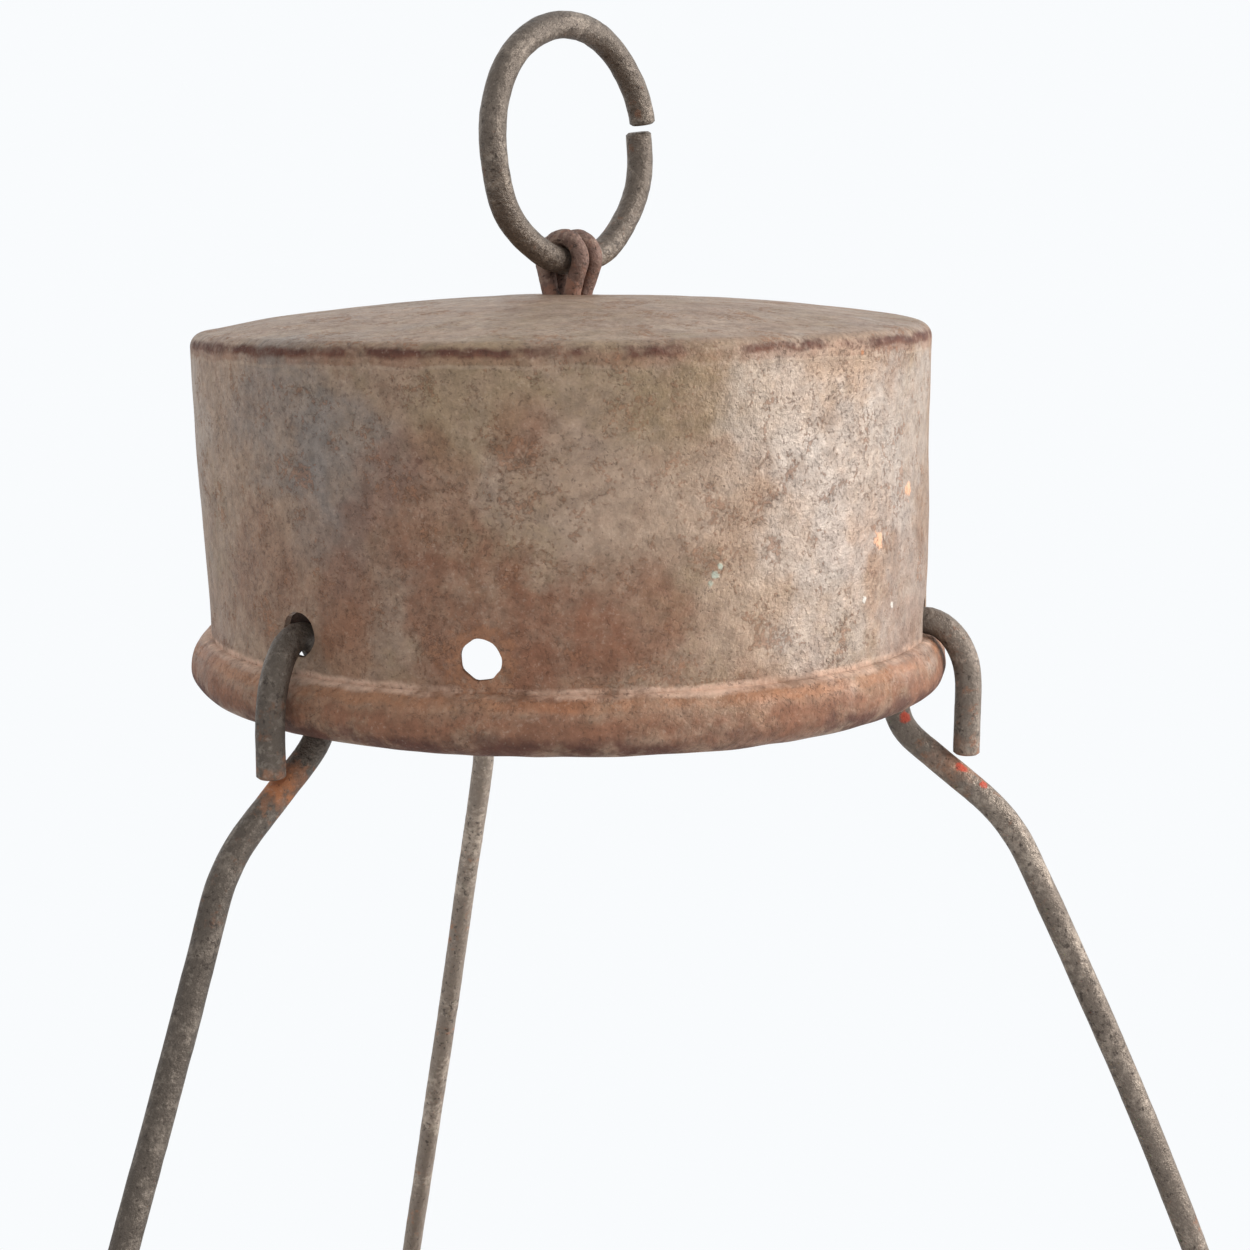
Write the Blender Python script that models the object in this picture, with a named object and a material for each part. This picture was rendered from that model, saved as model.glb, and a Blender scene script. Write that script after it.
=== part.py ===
"""Hanging candle lantern: a wire ring and a wire tie carry a drawn steel smoke cap, and three
stiff wires hooked round the cap's rim carry a drawn pan with a glass globe and a candle.

Metres, +Z up. The origin is the seat of the hanging ring, the inside of its top, where the
hook that holds the lantern bears. The whole lantern hangs below it on the Z axis.
"""

import math

import bmesh
import bpy
from mathutils import Matrix, Vector

mm = 0.001

# Sizes of the hanging ring and the tie
WIRE_D = 3.2 * mm
RING_MEAN_RADIUS = 13.9 * mm
RING_GAP = 0.9 * mm
RING_GAP_RISE = math.radians(10.0)
RING_TURN = math.radians(51.5)
TIE_D = 2.0 * mm
TIE_GAP = 0.5 * mm
TIE_BEND = 2.0 * mm
TIE_TAIL = 9.0 * mm
TIE_TURN_DROP = 0.6 * mm
TIE_DROP = 2.3 * mm

# Sheet steel, and the beaded rim that the cap and the pan share
SHEET = 0.8 * mm
BEAD_PROUD = 2.3 * mm
BEAD_UPPER = 4.0 * mm
BEAD_LOWER = 2.8 * mm
LIP_INSET = 1.0 * mm
HOOK_HOLE_PLAY = 1.6 * mm
HOLE_TO_LIP = 10.3 * mm

# Smoke cap
CAP_RADIUS = 44.0 * mm
CAP_HEIGHT = 43.1 * mm
CAP_DOME_RISE = 4.0 * mm
CAP_EDGE_ROUND = 1.8 * mm
SPARE_HOLE_AZIMUTH = math.radians(-12.3)

# Base pan
PAN_RADIUS = 96.0 * mm
PAN_DEPTH = 30.0 * mm
PAN_CORNER = 8.0 * mm
PAN_CENTRE_RISE = 2.5 * mm
PAN_STEP_SHARE = 0.45
PAN_STEP_WIDTH = 4.0 * mm
CAP_TO_PAN = 193.0 * mm

# Globe, and the gallery ring that it stands in
GLOBE_HEIGHT = 107.0 * mm
GLOBE_FOOT_RADIUS = 41.0 * mm
GLOBE_BELLY_RADIUS = 62.0 * mm
GLOBE_MOUTH_RADIUS = 37.0 * mm
GLOBE_BELLY_SHARE = 0.42
GLOBE_NECK_SHARE = 0.07
GLOBE_SHOULDER_SHARE = 0.30
GLASS = 2.2 * mm
LEDGE_WIDTH = 5.0 * mm
LEDGE_HEIGHT = 9.0 * mm
GALLERY_LIP = 5.0 * mm
GALLERY_FLANGE = 11.0 * mm
AIR_HOLE_D = 4.5 * mm
AIR_HOLES = 12

# Candle, wick and socket
CANDLE_RADIUS = 19.5 * mm
CANDLE_HEIGHT = 68.0 * mm
CANDLE_SHOULDER = 2.5 * mm
CANDLE_HOLLOW = 2.5 * mm
SOCKET_DEPTH = 13.0 * mm
SOCKET_CORNER = 2.0 * mm
WICK_D = 1.6 * mm
WICK_RISE = 9.0 * mm
WICK_DEPTH = 6.0 * mm
WICK_LEAN = (2.4 * mm, -0.8 * mm)

# Rivets
RIVET_SHANK_D = 3.2 * mm
RIVET_HEAD_D = 6.0 * mm
RIVET_HEAD_H = 1.2 * mm
RIVET_TAIL_LESS = 0.2 * mm
GALLERY_RIVETS = 3

# Clearances
TOUCH = 0.3 * mm
TIE_CLEAR = 0.4 * mm
TIE_SLACK = 0.1 * mm
HOOK_INSIDE_CLEAR = 0.9 * mm
HOOK_OUTSIDE_CLEAR = 1.35 * mm
CANDLE_CLEAR = 0.8 * mm
GLOBE_CLEAR = 1.2 * mm

# The hangers: azimuths of their holes in the cap and the pan, how far the cap's hole is off its
# row, how close the hook's leg is to the bead, how far that leg falls in its bend, and the shape
# of the wire under the cap. Azimuth 0 is the front, -Y, and grows towards +X.
HANGERS = {
    "hanger_left": dict(cap=-42.5, pan=-41.5, hole_lift=0.9 * mm, outside=0.9 * mm, fall=10.0 * mm,
                        loop_drop=0.6 * mm, knee=(10.6 * mm, 12.0 * mm), bend=16.0 * mm, flare=0.38),
    "hanger_right": dict(cap=77.0, pan=77.0, hole_lift=-1.6 * mm, outside=1.35 * mm, fall=8.0 * mm,
                         loop_drop=4.3 * mm, knee=(10.7 * mm, 15.5 * mm), bend=21.0 * mm, flare=0.48),
    "hanger_back": dict(cap=193.0, pan=199.0, hole_lift=0.0, outside=1.35 * mm, fall=8.0 * mm,
                        loop_drop=2.5 * mm, knee=(14.5 * mm, 21.2 * mm), bend=14.0 * mm, flare=0.45),
}
HOOK_INNER_FALL = 4.4 * mm
PAN_HOOK_FALL = 5.0 * mm
PAN_LOOP_RISE = 2.2 * mm
PAN_KNEE = (14.0 * mm, 18.0 * mm)
PAN_KNEE_BEND = 14.0 * mm
PAN_FLARE = 0.17
LOOP_BEND = 6.0 * mm
KNEE_REACH = 5.5 * mm

# Places that follow from the sizes
RING_CENTRE_Z = -(RING_MEAN_RADIUS - WIRE_D / 2)
RING_FOOT_Z = RING_CENTRE_Z - RING_MEAN_RADIUS
CAP_APEX_Z = RING_FOOT_Z - WIRE_D / 2 - TIE_DROP
CAP_EDGE_Z = CAP_APEX_Z - CAP_DOME_RISE
CAP_LIP_Z = CAP_EDGE_Z - CAP_HEIGHT
CAP_HOLE_Z = CAP_LIP_Z + HOLE_TO_LIP
PAN_LIP_Z = CAP_LIP_Z - CAP_TO_PAN
PAN_HOLE_Z = PAN_LIP_Z - HOLE_TO_LIP
PAN_BASE_Z = PAN_LIP_Z - PAN_DEPTH
PAN_FLOOR_Z = PAN_BASE_Z + PAN_CENTRE_RISE + SHEET
FLANGE_Z = PAN_FLOOR_Z + TOUCH
LEDGE_Z = FLANGE_Z + SHEET + LEDGE_HEIGHT
GLOBE_FOOT_Z = LEDGE_Z + TOUCH
CANDLE_FOOT_Z = FLANGE_Z + SHEET + TOUCH
TIE_PITCH = TIE_D + TIE_GAP
TIE_NECK = TIE_D / 2 + TIE_CLEAR + TIE_SLACK
TIE_HOLE_RADIUS = math.hypot(TIE_PITCH / 2, TIE_NECK) + TIE_D / 2 + TIE_CLEAR
HOOK_HOLE_RADIUS = (WIRE_D + HOOK_HOLE_PLAY) / 2
SOCKET_RADIUS = CANDLE_RADIUS + CANDLE_CLEAR + SHEET
RIVET_HOLE_RADIUS = RIVET_SHANK_D / 2 + TOUCH
LEDGE_OUTER_RADIUS = GLOBE_FOOT_RADIUS + GLOBE_CLEAR
GALLERY_WALL_RADIUS = LEDGE_OUTER_RADIUS + SHEET + TOUCH + SHEET
GALLERY_OUTER_RADIUS = GALLERY_WALL_RADIUS + GALLERY_FLANGE
GALLERY_RIVET_RADIUS = GALLERY_WALL_RADIUS + GALLERY_FLANGE / 2
PAN_FREE_FLOOR = PAN_RADIUS - PAN_CORNER - GALLERY_OUTER_RADIUS
PAN_CENTRE_RADIUS = GALLERY_OUTER_RADIUS + PAN_STEP_SHARE * PAN_FREE_FLOOR

# How finely round things are divided
ARC_STEP = math.radians(22.5)
CAP_SIDES = 40
PAN_SIDES = 44
GALLERY_SIDES = 32
GLOBE_SIDES = 36
CUP_SIDES = 24
SMALL_SIDES = 12
RING_STEPS = 40


# --- scene and materials ---------------------------------------------------------------------


def clear_scene():
    for old in list(bpy.data.objects):
        bpy.data.objects.remove(old, do_unlink=True)


def material(name, colour, roughness, metallic=0.0, transmission=0.0):
    made = bpy.data.materials.new(name)
    made.use_nodes = True
    shader = made.node_tree.nodes["Principled BSDF"]
    shader.inputs["Base Color"].default_value = (*colour, 1.0)
    shader.inputs["Roughness"].default_value = roughness
    shader.inputs["Metallic"].default_value = metallic
    shader.inputs["Transmission Weight"].default_value = transmission
    return made


def place(name, data, finish, parent=None):
    obj = bpy.data.objects.new(name, data)
    bpy.context.scene.collection.objects.link(obj)
    data.materials.append(finish)
    if parent:
        obj.parent = parent
        obj.matrix_parent_inverse = Matrix.Translation(parent.location).inverted()
    return obj


def pivot(name, location, parent=None):
    empty = bpy.data.objects.new(name, None)
    bpy.context.scene.collection.objects.link(empty)
    empty.empty_display_size = 5 * mm
    empty.location = location
    if parent:
        empty.parent = parent
        empty.matrix_parent_inverse = Matrix.Translation(parent.location).inverted()
    return empty


# --- outlines in the (radius, height) plane --------------------------------------------------


def arc(centre, radii, start, end):
    """Points on an ellipse from the angle start to the angle end, both in degrees."""
    turn = math.radians(end - start)
    steps = max(2, math.ceil(abs(turn) / ARC_STEP))
    angles = [math.radians(start) + turn * i / steps for i in range(steps + 1)]
    return [Vector((centre[0] + radii[0] * math.cos(a), centre[1] + radii[1] * math.sin(a))) for a in angles]


def rounded(points, bends):
    """The open line through points, with an arc of the given radius at each inner corner."""
    line = [Vector(points[0])]
    for before, corner, after, bend in zip(points, points[1:], points[2:], bends):
        corner = Vector(corner)
        back = (Vector(before) - corner).normalized()
        ahead = (Vector(after) - corner).normalized()
        turn = math.pi - back.angle(ahead)
        reach = bend * math.tan(turn / 2)
        centre = corner + (back + ahead).normalized() * (bend / math.cos(turn / 2))
        first = corner + back * reach - centre
        side = 1 if back.x * ahead.y - back.y * ahead.x < 0 else -1
        steps = max(2, math.ceil(turn / ARC_STEP))
        for i in range(steps + 1):
            angle = side * turn * i / steps
            line.append(centre + Vector((first.x * math.cos(angle) - first.y * math.sin(angle),
                                         first.x * math.sin(angle) + first.y * math.cos(angle))))
    return line + [Vector(points[-1])]


def bezier(start, start_handle, end_handle, end, count):
    points = []
    for i in range(count + 1):
        t = i / count
        s = 1 - t
        points.append(start * s ** 3 + start_handle * 3 * s * s * t
                      + end_handle * 3 * s * t * t + end * t ** 3)
    return points


def sheet_outline(line, thickness):
    """The closed outline of a sheet: line is one face of it, and the metal is on its right."""
    offset = []
    for i, point in enumerate(line):
        into = (point - line[i - 1]).normalized() if i else None
        out = (line[i + 1] - point).normalized() if i + 1 < len(line) else None
        into = into or out
        out = out or into
        mean = (into + out).normalized()
        normal = Vector((mean.y, -mean.x))
        offset.append(point + normal * (thickness / max(0.5, mean.dot(into))))
    return line + offset[::-1]


def bead(wall_radius, lip_z, up):
    """Outer face of a beaded rim, from its crease to its curled lip. up is 1 for a rim on top."""
    widest = lip_z - up * BEAD_LOWER
    flare = arc((wall_radius, widest), (BEAD_PROUD, -up * BEAD_UPPER), 90, 0)
    curl = arc((wall_radius - LIP_INSET, widest), (BEAD_PROUD + LIP_INSET, up * BEAD_LOWER), 0, 90)
    return flare + curl[1:]


# --- solids ----------------------------------------------------------------------------------


def turned(name, outline, segments, finish, parent=None, centre=(0.0, 0.0)):
    """A closed body of revolution from its closed outline, or an open one that ends on the axis."""
    shape = bmesh.new()
    corners = [shape.verts.new((p[0], 0, p[1])) for p in outline]
    edges = [shape.edges.new(pair) for pair in zip(corners, corners[1:])]
    if outline[0][0] > 0:
        edges.append(shape.edges.new((corners[-1], corners[0])))
    bmesh.ops.spin(shape, geom=corners + edges, cent=(0, 0, 0), axis=(0, 0, 1),
                   angle=2 * math.pi, steps=segments, use_merge=True)
    bmesh.ops.remove_doubles(shape, verts=shape.verts, dist=0.001 * mm)
    bmesh.ops.recalc_face_normals(shape, faces=shape.faces)
    bmesh.ops.translate(shape, verts=shape.verts, vec=(centre[0], centre[1], 0))
    mesh = bpy.data.meshes.new(name)
    shape.to_mesh(mesh)
    shape.free()
    mesh.shade_smooth()
    mesh.set_sharp_from_angle(angle=math.radians(40))
    return place(name, mesh, finish, parent)


def wire(name, points, diameter, finish, parent=None):
    curve = bpy.data.curves.new(name, "CURVE")
    curve.dimensions = "3D"
    curve.bevel_depth = diameter / 2
    curve.bevel_resolution = 2
    curve.use_fill_caps = True
    spline = curve.splines.new("POLY")
    spline.points.add(len(points) - 1)
    for slot, point in zip(spline.points, points):
        slot.co = (*point, 1.0)
    return place(name, curve, finish, parent)


def drill(body, name, radius, start, end):
    """Cuts a round hole through body along the line from start to end."""
    start, end = Vector(start), Vector(end)
    shape = bmesh.new()
    bmesh.ops.create_cone(shape, cap_ends=True, segments=SMALL_SIDES, radius1=radius, radius2=radius,
                          depth=(end - start).length)
    mesh = bpy.data.meshes.new(name)
    shape.to_mesh(mesh)
    shape.free()
    cutter = bpy.data.objects.new(name, mesh)
    bpy.context.scene.collection.objects.link(cutter)
    cutter.matrix_world = (Matrix.Translation((start + end) / 2)
                           @ (end - start).to_track_quat("Z", "Y").to_matrix().to_4x4())
    cutter.hide_render = True
    cutter.display_type = "WIRE"
    cut = body.modifiers.new(name, "BOOLEAN")
    cut.operation = "DIFFERENCE"
    cut.solver = "EXACT"
    cut.object = cutter


def around(radius, azimuth, z):
    """The point at this radius and height. Azimuth 0 is the front, -Y, and grows towards +X."""
    return Vector((radius * math.sin(azimuth), -radius * math.cos(azimuth), z))


def drill_wall(body, name, hole_radius, wall_radius, azimuth, z):
    margin = 4 * mm
    drill(body, name, hole_radius, around(wall_radius - margin, azimuth, z),
          around(wall_radius + margin, azimuth, z))


def rivet(name, x, y, top_z, bottom_z, finish, parent):
    """A rivet whose two heads clear the faces at top_z and bottom_z."""
    head_radius = RIVET_HEAD_D / 2
    upper = top_z + TOUCH
    lower = bottom_z - TOUCH
    tail = (head_radius - RIVET_TAIL_LESS, RIVET_HEAD_H - RIVET_TAIL_LESS)
    outline = arc((0, upper), (head_radius, RIVET_HEAD_H), 90, 0)
    outline[0].x = 0
    outline += [Vector((RIVET_SHANK_D / 2, upper)), Vector((RIVET_SHANK_D / 2, lower))]
    outline += arc((0, lower), tail, 0, -90)
    outline[-1].x = 0
    return turned(name, outline, SMALL_SIDES, finish, parent, (x, y))


# --- the ring, the tie and the cap -----------------------------------------------------------

RING_ALONG = Vector((math.cos(RING_TURN), math.sin(RING_TURN), 0)).normalized()
RING_ACROSS = Vector((RING_ALONG.y, -RING_ALONG.x, 0))


def hanging_ring(finish):
    """A round wire ring, butted with a small gap on its far side."""
    points = []
    gap = RING_GAP / RING_MEAN_RADIUS
    for i in range(RING_STEPS + 1):
        angle = RING_GAP_RISE + gap / 2 + (2 * math.pi - gap) * i / RING_STEPS
        points.append(RING_ALONG * (RING_MEAN_RADIUS * math.cos(angle))
                      + Vector((0, 0, RING_CENTRE_Z + RING_MEAN_RADIUS * math.sin(angle))))
    return wire("hanging_ring", points, WIRE_D, finish)


def tie_wire(finish, parent):
    """One wire: two turns over the ring's foot, down the cap's hole, its ends bent out below."""
    over = WIRE_D / 2 + TIE_CLEAR + TIE_D / 2
    reach = TIE_NECK + TIE_TAIL
    tail_z = CAP_APEX_Z - CAP_DOME_RISE * (reach / CAP_RADIUS) ** 2 - SHEET - TIE_CLEAR - TIE_D / 2
    turn_z = tail_z - TIE_TURN_DROP
    half = TIE_PITCH / 2

    def tail_and_leg(sign):
        """The bent-out tail and the leg up to the ring, on one side, as (across, height)."""
        leg = rounded([(reach, tail_z), (TIE_NECK, tail_z), (TIE_NECK, CAP_APEX_Z)], [TIE_BEND])
        return [(sign * p.x, p.y) for p in leg]

    turn = [(p.x, p.y) for p in arc((0, RING_FOOT_Z), (over, over), 180, 0)]
    points = [(a, -half, z) for a, z in tail_and_leg(-1) + turn]
    points += [(TIE_NECK, -half, CAP_APEX_Z)]
    span = math.hypot(TIE_NECK, half)
    for p in arc((0, turn_z), (span, span), 0, -180):
        points.append((p.x / span * TIE_NECK, -p.x / span * half, p.y))
    points += [(-TIE_NECK, half, CAP_APEX_Z)]
    points += [(a, half, z) for a, z in turn + tail_and_leg(1)[::-1]]
    route = [RING_ACROSS * a + RING_ALONG * t + Vector((0, 0, z)) for a, t, z in points]
    return wire("tie_wire", route, TIE_D, finish, parent)


def smoke_cap(finish, parent):
    """One drawn sheet: low dome, rounded edge, straight wall and a beaded rim, open below."""
    dome_radius = CAP_RADIUS - CAP_EDGE_ROUND
    line = []
    dome_steps = 6
    for i in range(dome_steps + 1):
        r = TIE_HOLE_RADIUS + (dome_radius - TIE_HOLE_RADIUS) * i / dome_steps
        line.append(Vector((r, CAP_APEX_Z - CAP_DOME_RISE * (r / CAP_RADIUS) ** 2)))
    shoulder_z = line[-1].y - CAP_EDGE_ROUND
    line += arc((dome_radius, shoulder_z), (CAP_EDGE_ROUND, CAP_EDGE_ROUND), 80, 0)
    line += bead(CAP_RADIUS, CAP_LIP_Z, -1)
    cap = turned("smoke_cap", sheet_outline(line, SHEET), CAP_SIDES, finish, parent)
    for name, hanger in HANGERS.items():
        drill_wall(cap, "cap_hole_" + name, HOOK_HOLE_RADIUS, CAP_RADIUS,
                   math.radians(hanger["cap"]), CAP_HOLE_Z + hanger["hole_lift"])
    drill_wall(cap, "cap_hole_spare", HOOK_HOLE_RADIUS, CAP_RADIUS, SPARE_HOLE_AZIMUTH, CAP_HOLE_Z)
    return cap


# --- the hangers -----------------------------------------------------------------------------


def hook(wall_radius, hole_z, outside_clear, fall, up):
    """A hook over a rim: radii of its two legs, and its bend from the outer to the inner one.
    Its crown lies in the middle of the wall's hole."""
    wall = wall_radius - SHEET / 2
    inside = wall_radius - LIP_INSET - HOOK_INSIDE_CLEAR - WIRE_D / 2
    outside = wall_radius + BEAD_PROUD + outside_clear + WIRE_D / 2
    bend = arc((wall, hole_z - up * fall), (outside - wall, up * fall), 0, 90)
    inner_centre = (wall, hole_z - up * HOOK_INNER_FALL)
    bend += arc(inner_centre, (wall - inside, up * HOOK_INNER_FALL), 90, 180)[1:]
    return inside, outside, bend


def end_height(outside, corner, knee, up):
    """Height where the hook's end meets its own wire, on the straight from corner to knee."""
    slope = Vector((knee[0] - corner[0], knee[1] - corner[1]))
    near = outside - WIRE_D / 2
    meets = corner[1] + slope.y * (near - corner[0]) / slope.x
    return meets + up * (WIRE_D / 2 + TOUCH) * slope.length / abs(slope.x)


def hanger(name, spec, finish, parent):
    """One stiff wire: a closed hook round the cap's rim, a bow outwards, a hook round the pan's."""
    inside, outside, bend = hook(CAP_RADIUS, CAP_HOLE_Z + spec["hole_lift"], spec["outside"], spec["fall"], 1)
    corner = (inside, CAP_LIP_Z - spec["loop_drop"])
    knee = (CAP_RADIUS + spec["knee"][0], CAP_LIP_Z - spec["knee"][1])
    bow_start = Vector(knee) + Vector((spec["flare"], -1)).normalized() * KNEE_REACH
    top = [Vector((outside, end_height(outside, corner, knee, 1)))] + bend
    top += rounded([bend[-1], corner, knee, bow_start], [LOOP_BEND, spec["bend"]])[1:]

    inside, outside, bend = hook(PAN_RADIUS, PAN_HOLE_Z, HOOK_OUTSIDE_CLEAR, PAN_HOOK_FALL, -1)
    corner = (inside, PAN_LIP_Z + PAN_LOOP_RISE)
    knee = (PAN_RADIUS + PAN_KNEE[0], PAN_LIP_Z + PAN_KNEE[1])
    bow_end = Vector(knee) - Vector((PAN_FLARE, -1)).normalized() * KNEE_REACH
    foot = rounded([bow_end, knee, corner, bend[-1]], [PAN_KNEE_BEND, LOOP_BEND])[:-1] + bend[::-1]
    foot += [Vector((outside, end_height(outside, corner, knee, -1)))]

    third = (bow_start.y - bow_end.y) / 3
    bow = bezier(bow_start, bow_start + Vector((spec["flare"], -1)) * third,
                 bow_end - Vector((PAN_FLARE, -1)) * third, bow_end, 12)[1:-1]
    azimuths = [spec["cap"]] * len(top)
    for i in range(len(bow)):
        azimuths.append(spec["cap"] + (spec["pan"] - spec["cap"]) * (i + 1) / (len(bow) + 1))
    azimuths += [spec["pan"]] * len(foot)
    route = [around(p.x, math.radians(a), p.y) for p, a in zip(top + bow + foot, azimuths)]
    return wire(name, route, WIRE_D, finish, parent)


# --- the pan and what stands in it -----------------------------------------------------------


def gallery_rivet_places():
    for i in range(GALLERY_RIVETS):
        azimuth = 2 * math.pi * (i + 0.5) / GALLERY_RIVETS
        yield i + 1, around(GALLERY_RIVET_RADIUS, azimuth, 0)


def drill_down(body, name, x, y):
    drill(body, name, RIVET_HOLE_RADIUS, (x, y, PAN_BASE_Z - SHEET), (x, y, LEDGE_Z))


def base_pan(finish, parent):
    """A shallow drawn pan: raised centre, flat foot ring, straight wall and a beaded rim."""
    raised = PAN_BASE_Z + PAN_CENTRE_RISE
    line = [Vector((RIVET_HOLE_RADIUS, raised)), Vector((PAN_CENTRE_RADIUS, raised))]
    line += [Vector((PAN_CENTRE_RADIUS + PAN_STEP_WIDTH, PAN_BASE_Z))]
    corner = (PAN_RADIUS - PAN_CORNER, PAN_BASE_Z + PAN_CORNER)
    line += arc(corner, (PAN_CORNER, PAN_CORNER), -90, 0)
    line += bead(PAN_RADIUS, PAN_LIP_Z, 1)
    pan = turned("base_pan", sheet_outline(line[::-1], SHEET), PAN_SIDES, finish, parent)
    for name, hanger_spec in HANGERS.items():
        drill_wall(pan, "pan_hole_" + name, HOOK_HOLE_RADIUS, PAN_RADIUS,
                   math.radians(hanger_spec["pan"]), PAN_HOLE_Z)
    for number, spot in gallery_rivet_places():
        drill_down(pan, f"pan_rivet_hole_{number}", spot.x, spot.y)
    return pan


def globe_gallery(finish, parent):
    """A hemmed ring: a ledge and a lip round the globe's foot, a wall with air holes, a flange."""
    ledge_inner = LEDGE_OUTER_RADIUS - LEDGE_WIDTH
    hem_z = LEDGE_Z + GALLERY_LIP
    hem = (GALLERY_WALL_RADIUS - LEDGE_OUTER_RADIUS) / 2
    line = [Vector((ledge_inner, LEDGE_Z)), Vector((LEDGE_OUTER_RADIUS, LEDGE_Z))]
    line += arc((LEDGE_OUTER_RADIUS + hem, hem_z), (hem, hem), 180, 0)
    line += [Vector((GALLERY_WALL_RADIUS, FLANGE_Z + SHEET))]
    line += [Vector((GALLERY_OUTER_RADIUS, FLANGE_Z + SHEET))]
    gallery = turned("globe_gallery", sheet_outline(line, SHEET), GALLERY_SIDES, finish, parent)
    hole_z = (FLANGE_Z + SHEET + LEDGE_Z - SHEET) / 2
    for i in range(AIR_HOLES):
        drill_wall(gallery, f"air_hole_{i + 1}", AIR_HOLE_D / 2, GALLERY_WALL_RADIUS,
                   2 * math.pi * i / AIR_HOLES, hole_z)
    for number, spot in gallery_rivet_places():
        drill_down(gallery, f"gallery_rivet_hole_{number}", spot.x, spot.y)
    return gallery


def glass_globe(finish, parent):
    """A bellied chimney, open at its foot and its mouth."""
    foot = Vector((GLOBE_FOOT_RADIUS, GLOBE_FOOT_Z))
    mouth = Vector((GLOBE_MOUTH_RADIUS, GLOBE_FOOT_Z + GLOBE_HEIGHT))
    belly = Vector((GLOBE_BELLY_RADIUS, GLOBE_FOOT_Z + GLOBE_HEIGHT * GLOBE_BELLY_SHARE))
    neck = Vector((0, GLOBE_HEIGHT * GLOBE_NECK_SHARE))
    rise = (belly - foot - neck).y
    shoulder = Vector((0, GLOBE_HEIGHT * GLOBE_SHOULDER_SHARE))
    lower = bezier(foot + neck, foot + neck + Vector((0, rise * 0.3)),
                   belly - Vector((0, rise * 0.6)), belly, 5)
    upper = bezier(belly, belly + shoulder, mouth - shoulder, mouth - neck, 6)
    line = ([foot] + lower + upper[1:] + [mouth])[::-1]
    return turned("glass_globe", sheet_outline(line, GLASS), GLOBE_SIDES, finish, parent)


def candle_socket(finish, parent):
    """A straight-sided cup, riveted to the middle of the pan."""
    line = [Vector((RIVET_HOLE_RADIUS, FLANGE_Z))]
    corner = (SOCKET_RADIUS - SOCKET_CORNER, FLANGE_Z + SOCKET_CORNER)
    line += arc(corner, (SOCKET_CORNER, SOCKET_CORNER), -90, 0)
    line += [Vector((SOCKET_RADIUS, FLANGE_Z + SHEET + SOCKET_DEPTH))]
    return turned("candle_socket", sheet_outline(line[::-1], SHEET), CUP_SIDES, finish, parent)


def candle(finish, parent):
    """A cylinder of wax with a melted hollow on top and a recess below for the rivet's head."""
    recess_radius = RIVET_HEAD_D / 2 + CANDLE_CLEAR
    recess_z = CANDLE_FOOT_Z + RIVET_HEAD_H + CANDLE_CLEAR
    top = CANDLE_FOOT_Z + CANDLE_HEIGHT
    bore = WICK_D / 2 + TOUCH
    pool_z = top - CANDLE_HOLLOW
    outline = [Vector((0, pool_z - WICK_DEPTH)), Vector((bore, pool_z - WICK_DEPTH)), Vector((bore, pool_z))]
    outline += [Vector((CANDLE_RADIUS * 0.45, top - CANDLE_HOLLOW * 0.7))]
    outline += arc((CANDLE_RADIUS - CANDLE_SHOULDER, top - CANDLE_SHOULDER),
                   (CANDLE_SHOULDER, CANDLE_SHOULDER), 100, 0)
    outline += [Vector((CANDLE_RADIUS, CANDLE_FOOT_Z)), Vector((recess_radius, CANDLE_FOOT_Z))]
    outline += [Vector((recess_radius, recess_z)), Vector((0, recess_z))]
    return turned("candle", outline, CUP_SIDES, finish, parent)


def wick(finish, parent):
    """A short braided string that stands in the candle and leans over at its tip."""
    pool = Vector((0, 0, CANDLE_FOOT_Z + CANDLE_HEIGHT - CANDLE_HOLLOW))
    foot = pool - Vector((0, 0, WICK_DEPTH - TOUCH))
    tip = pool + Vector((*WICK_LEAN, WICK_RISE))
    bend = Vector((WICK_LEAN[0] / 2, 0, WICK_RISE * 0.25))
    points = [foot] + bezier(pool, pool + Vector((0, 0, WICK_RISE * 0.5)), tip - bend, tip, 6)
    return wire("wick", points, WICK_D, finish, parent)


# --- the assembly ----------------------------------------------------------------------------


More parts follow.
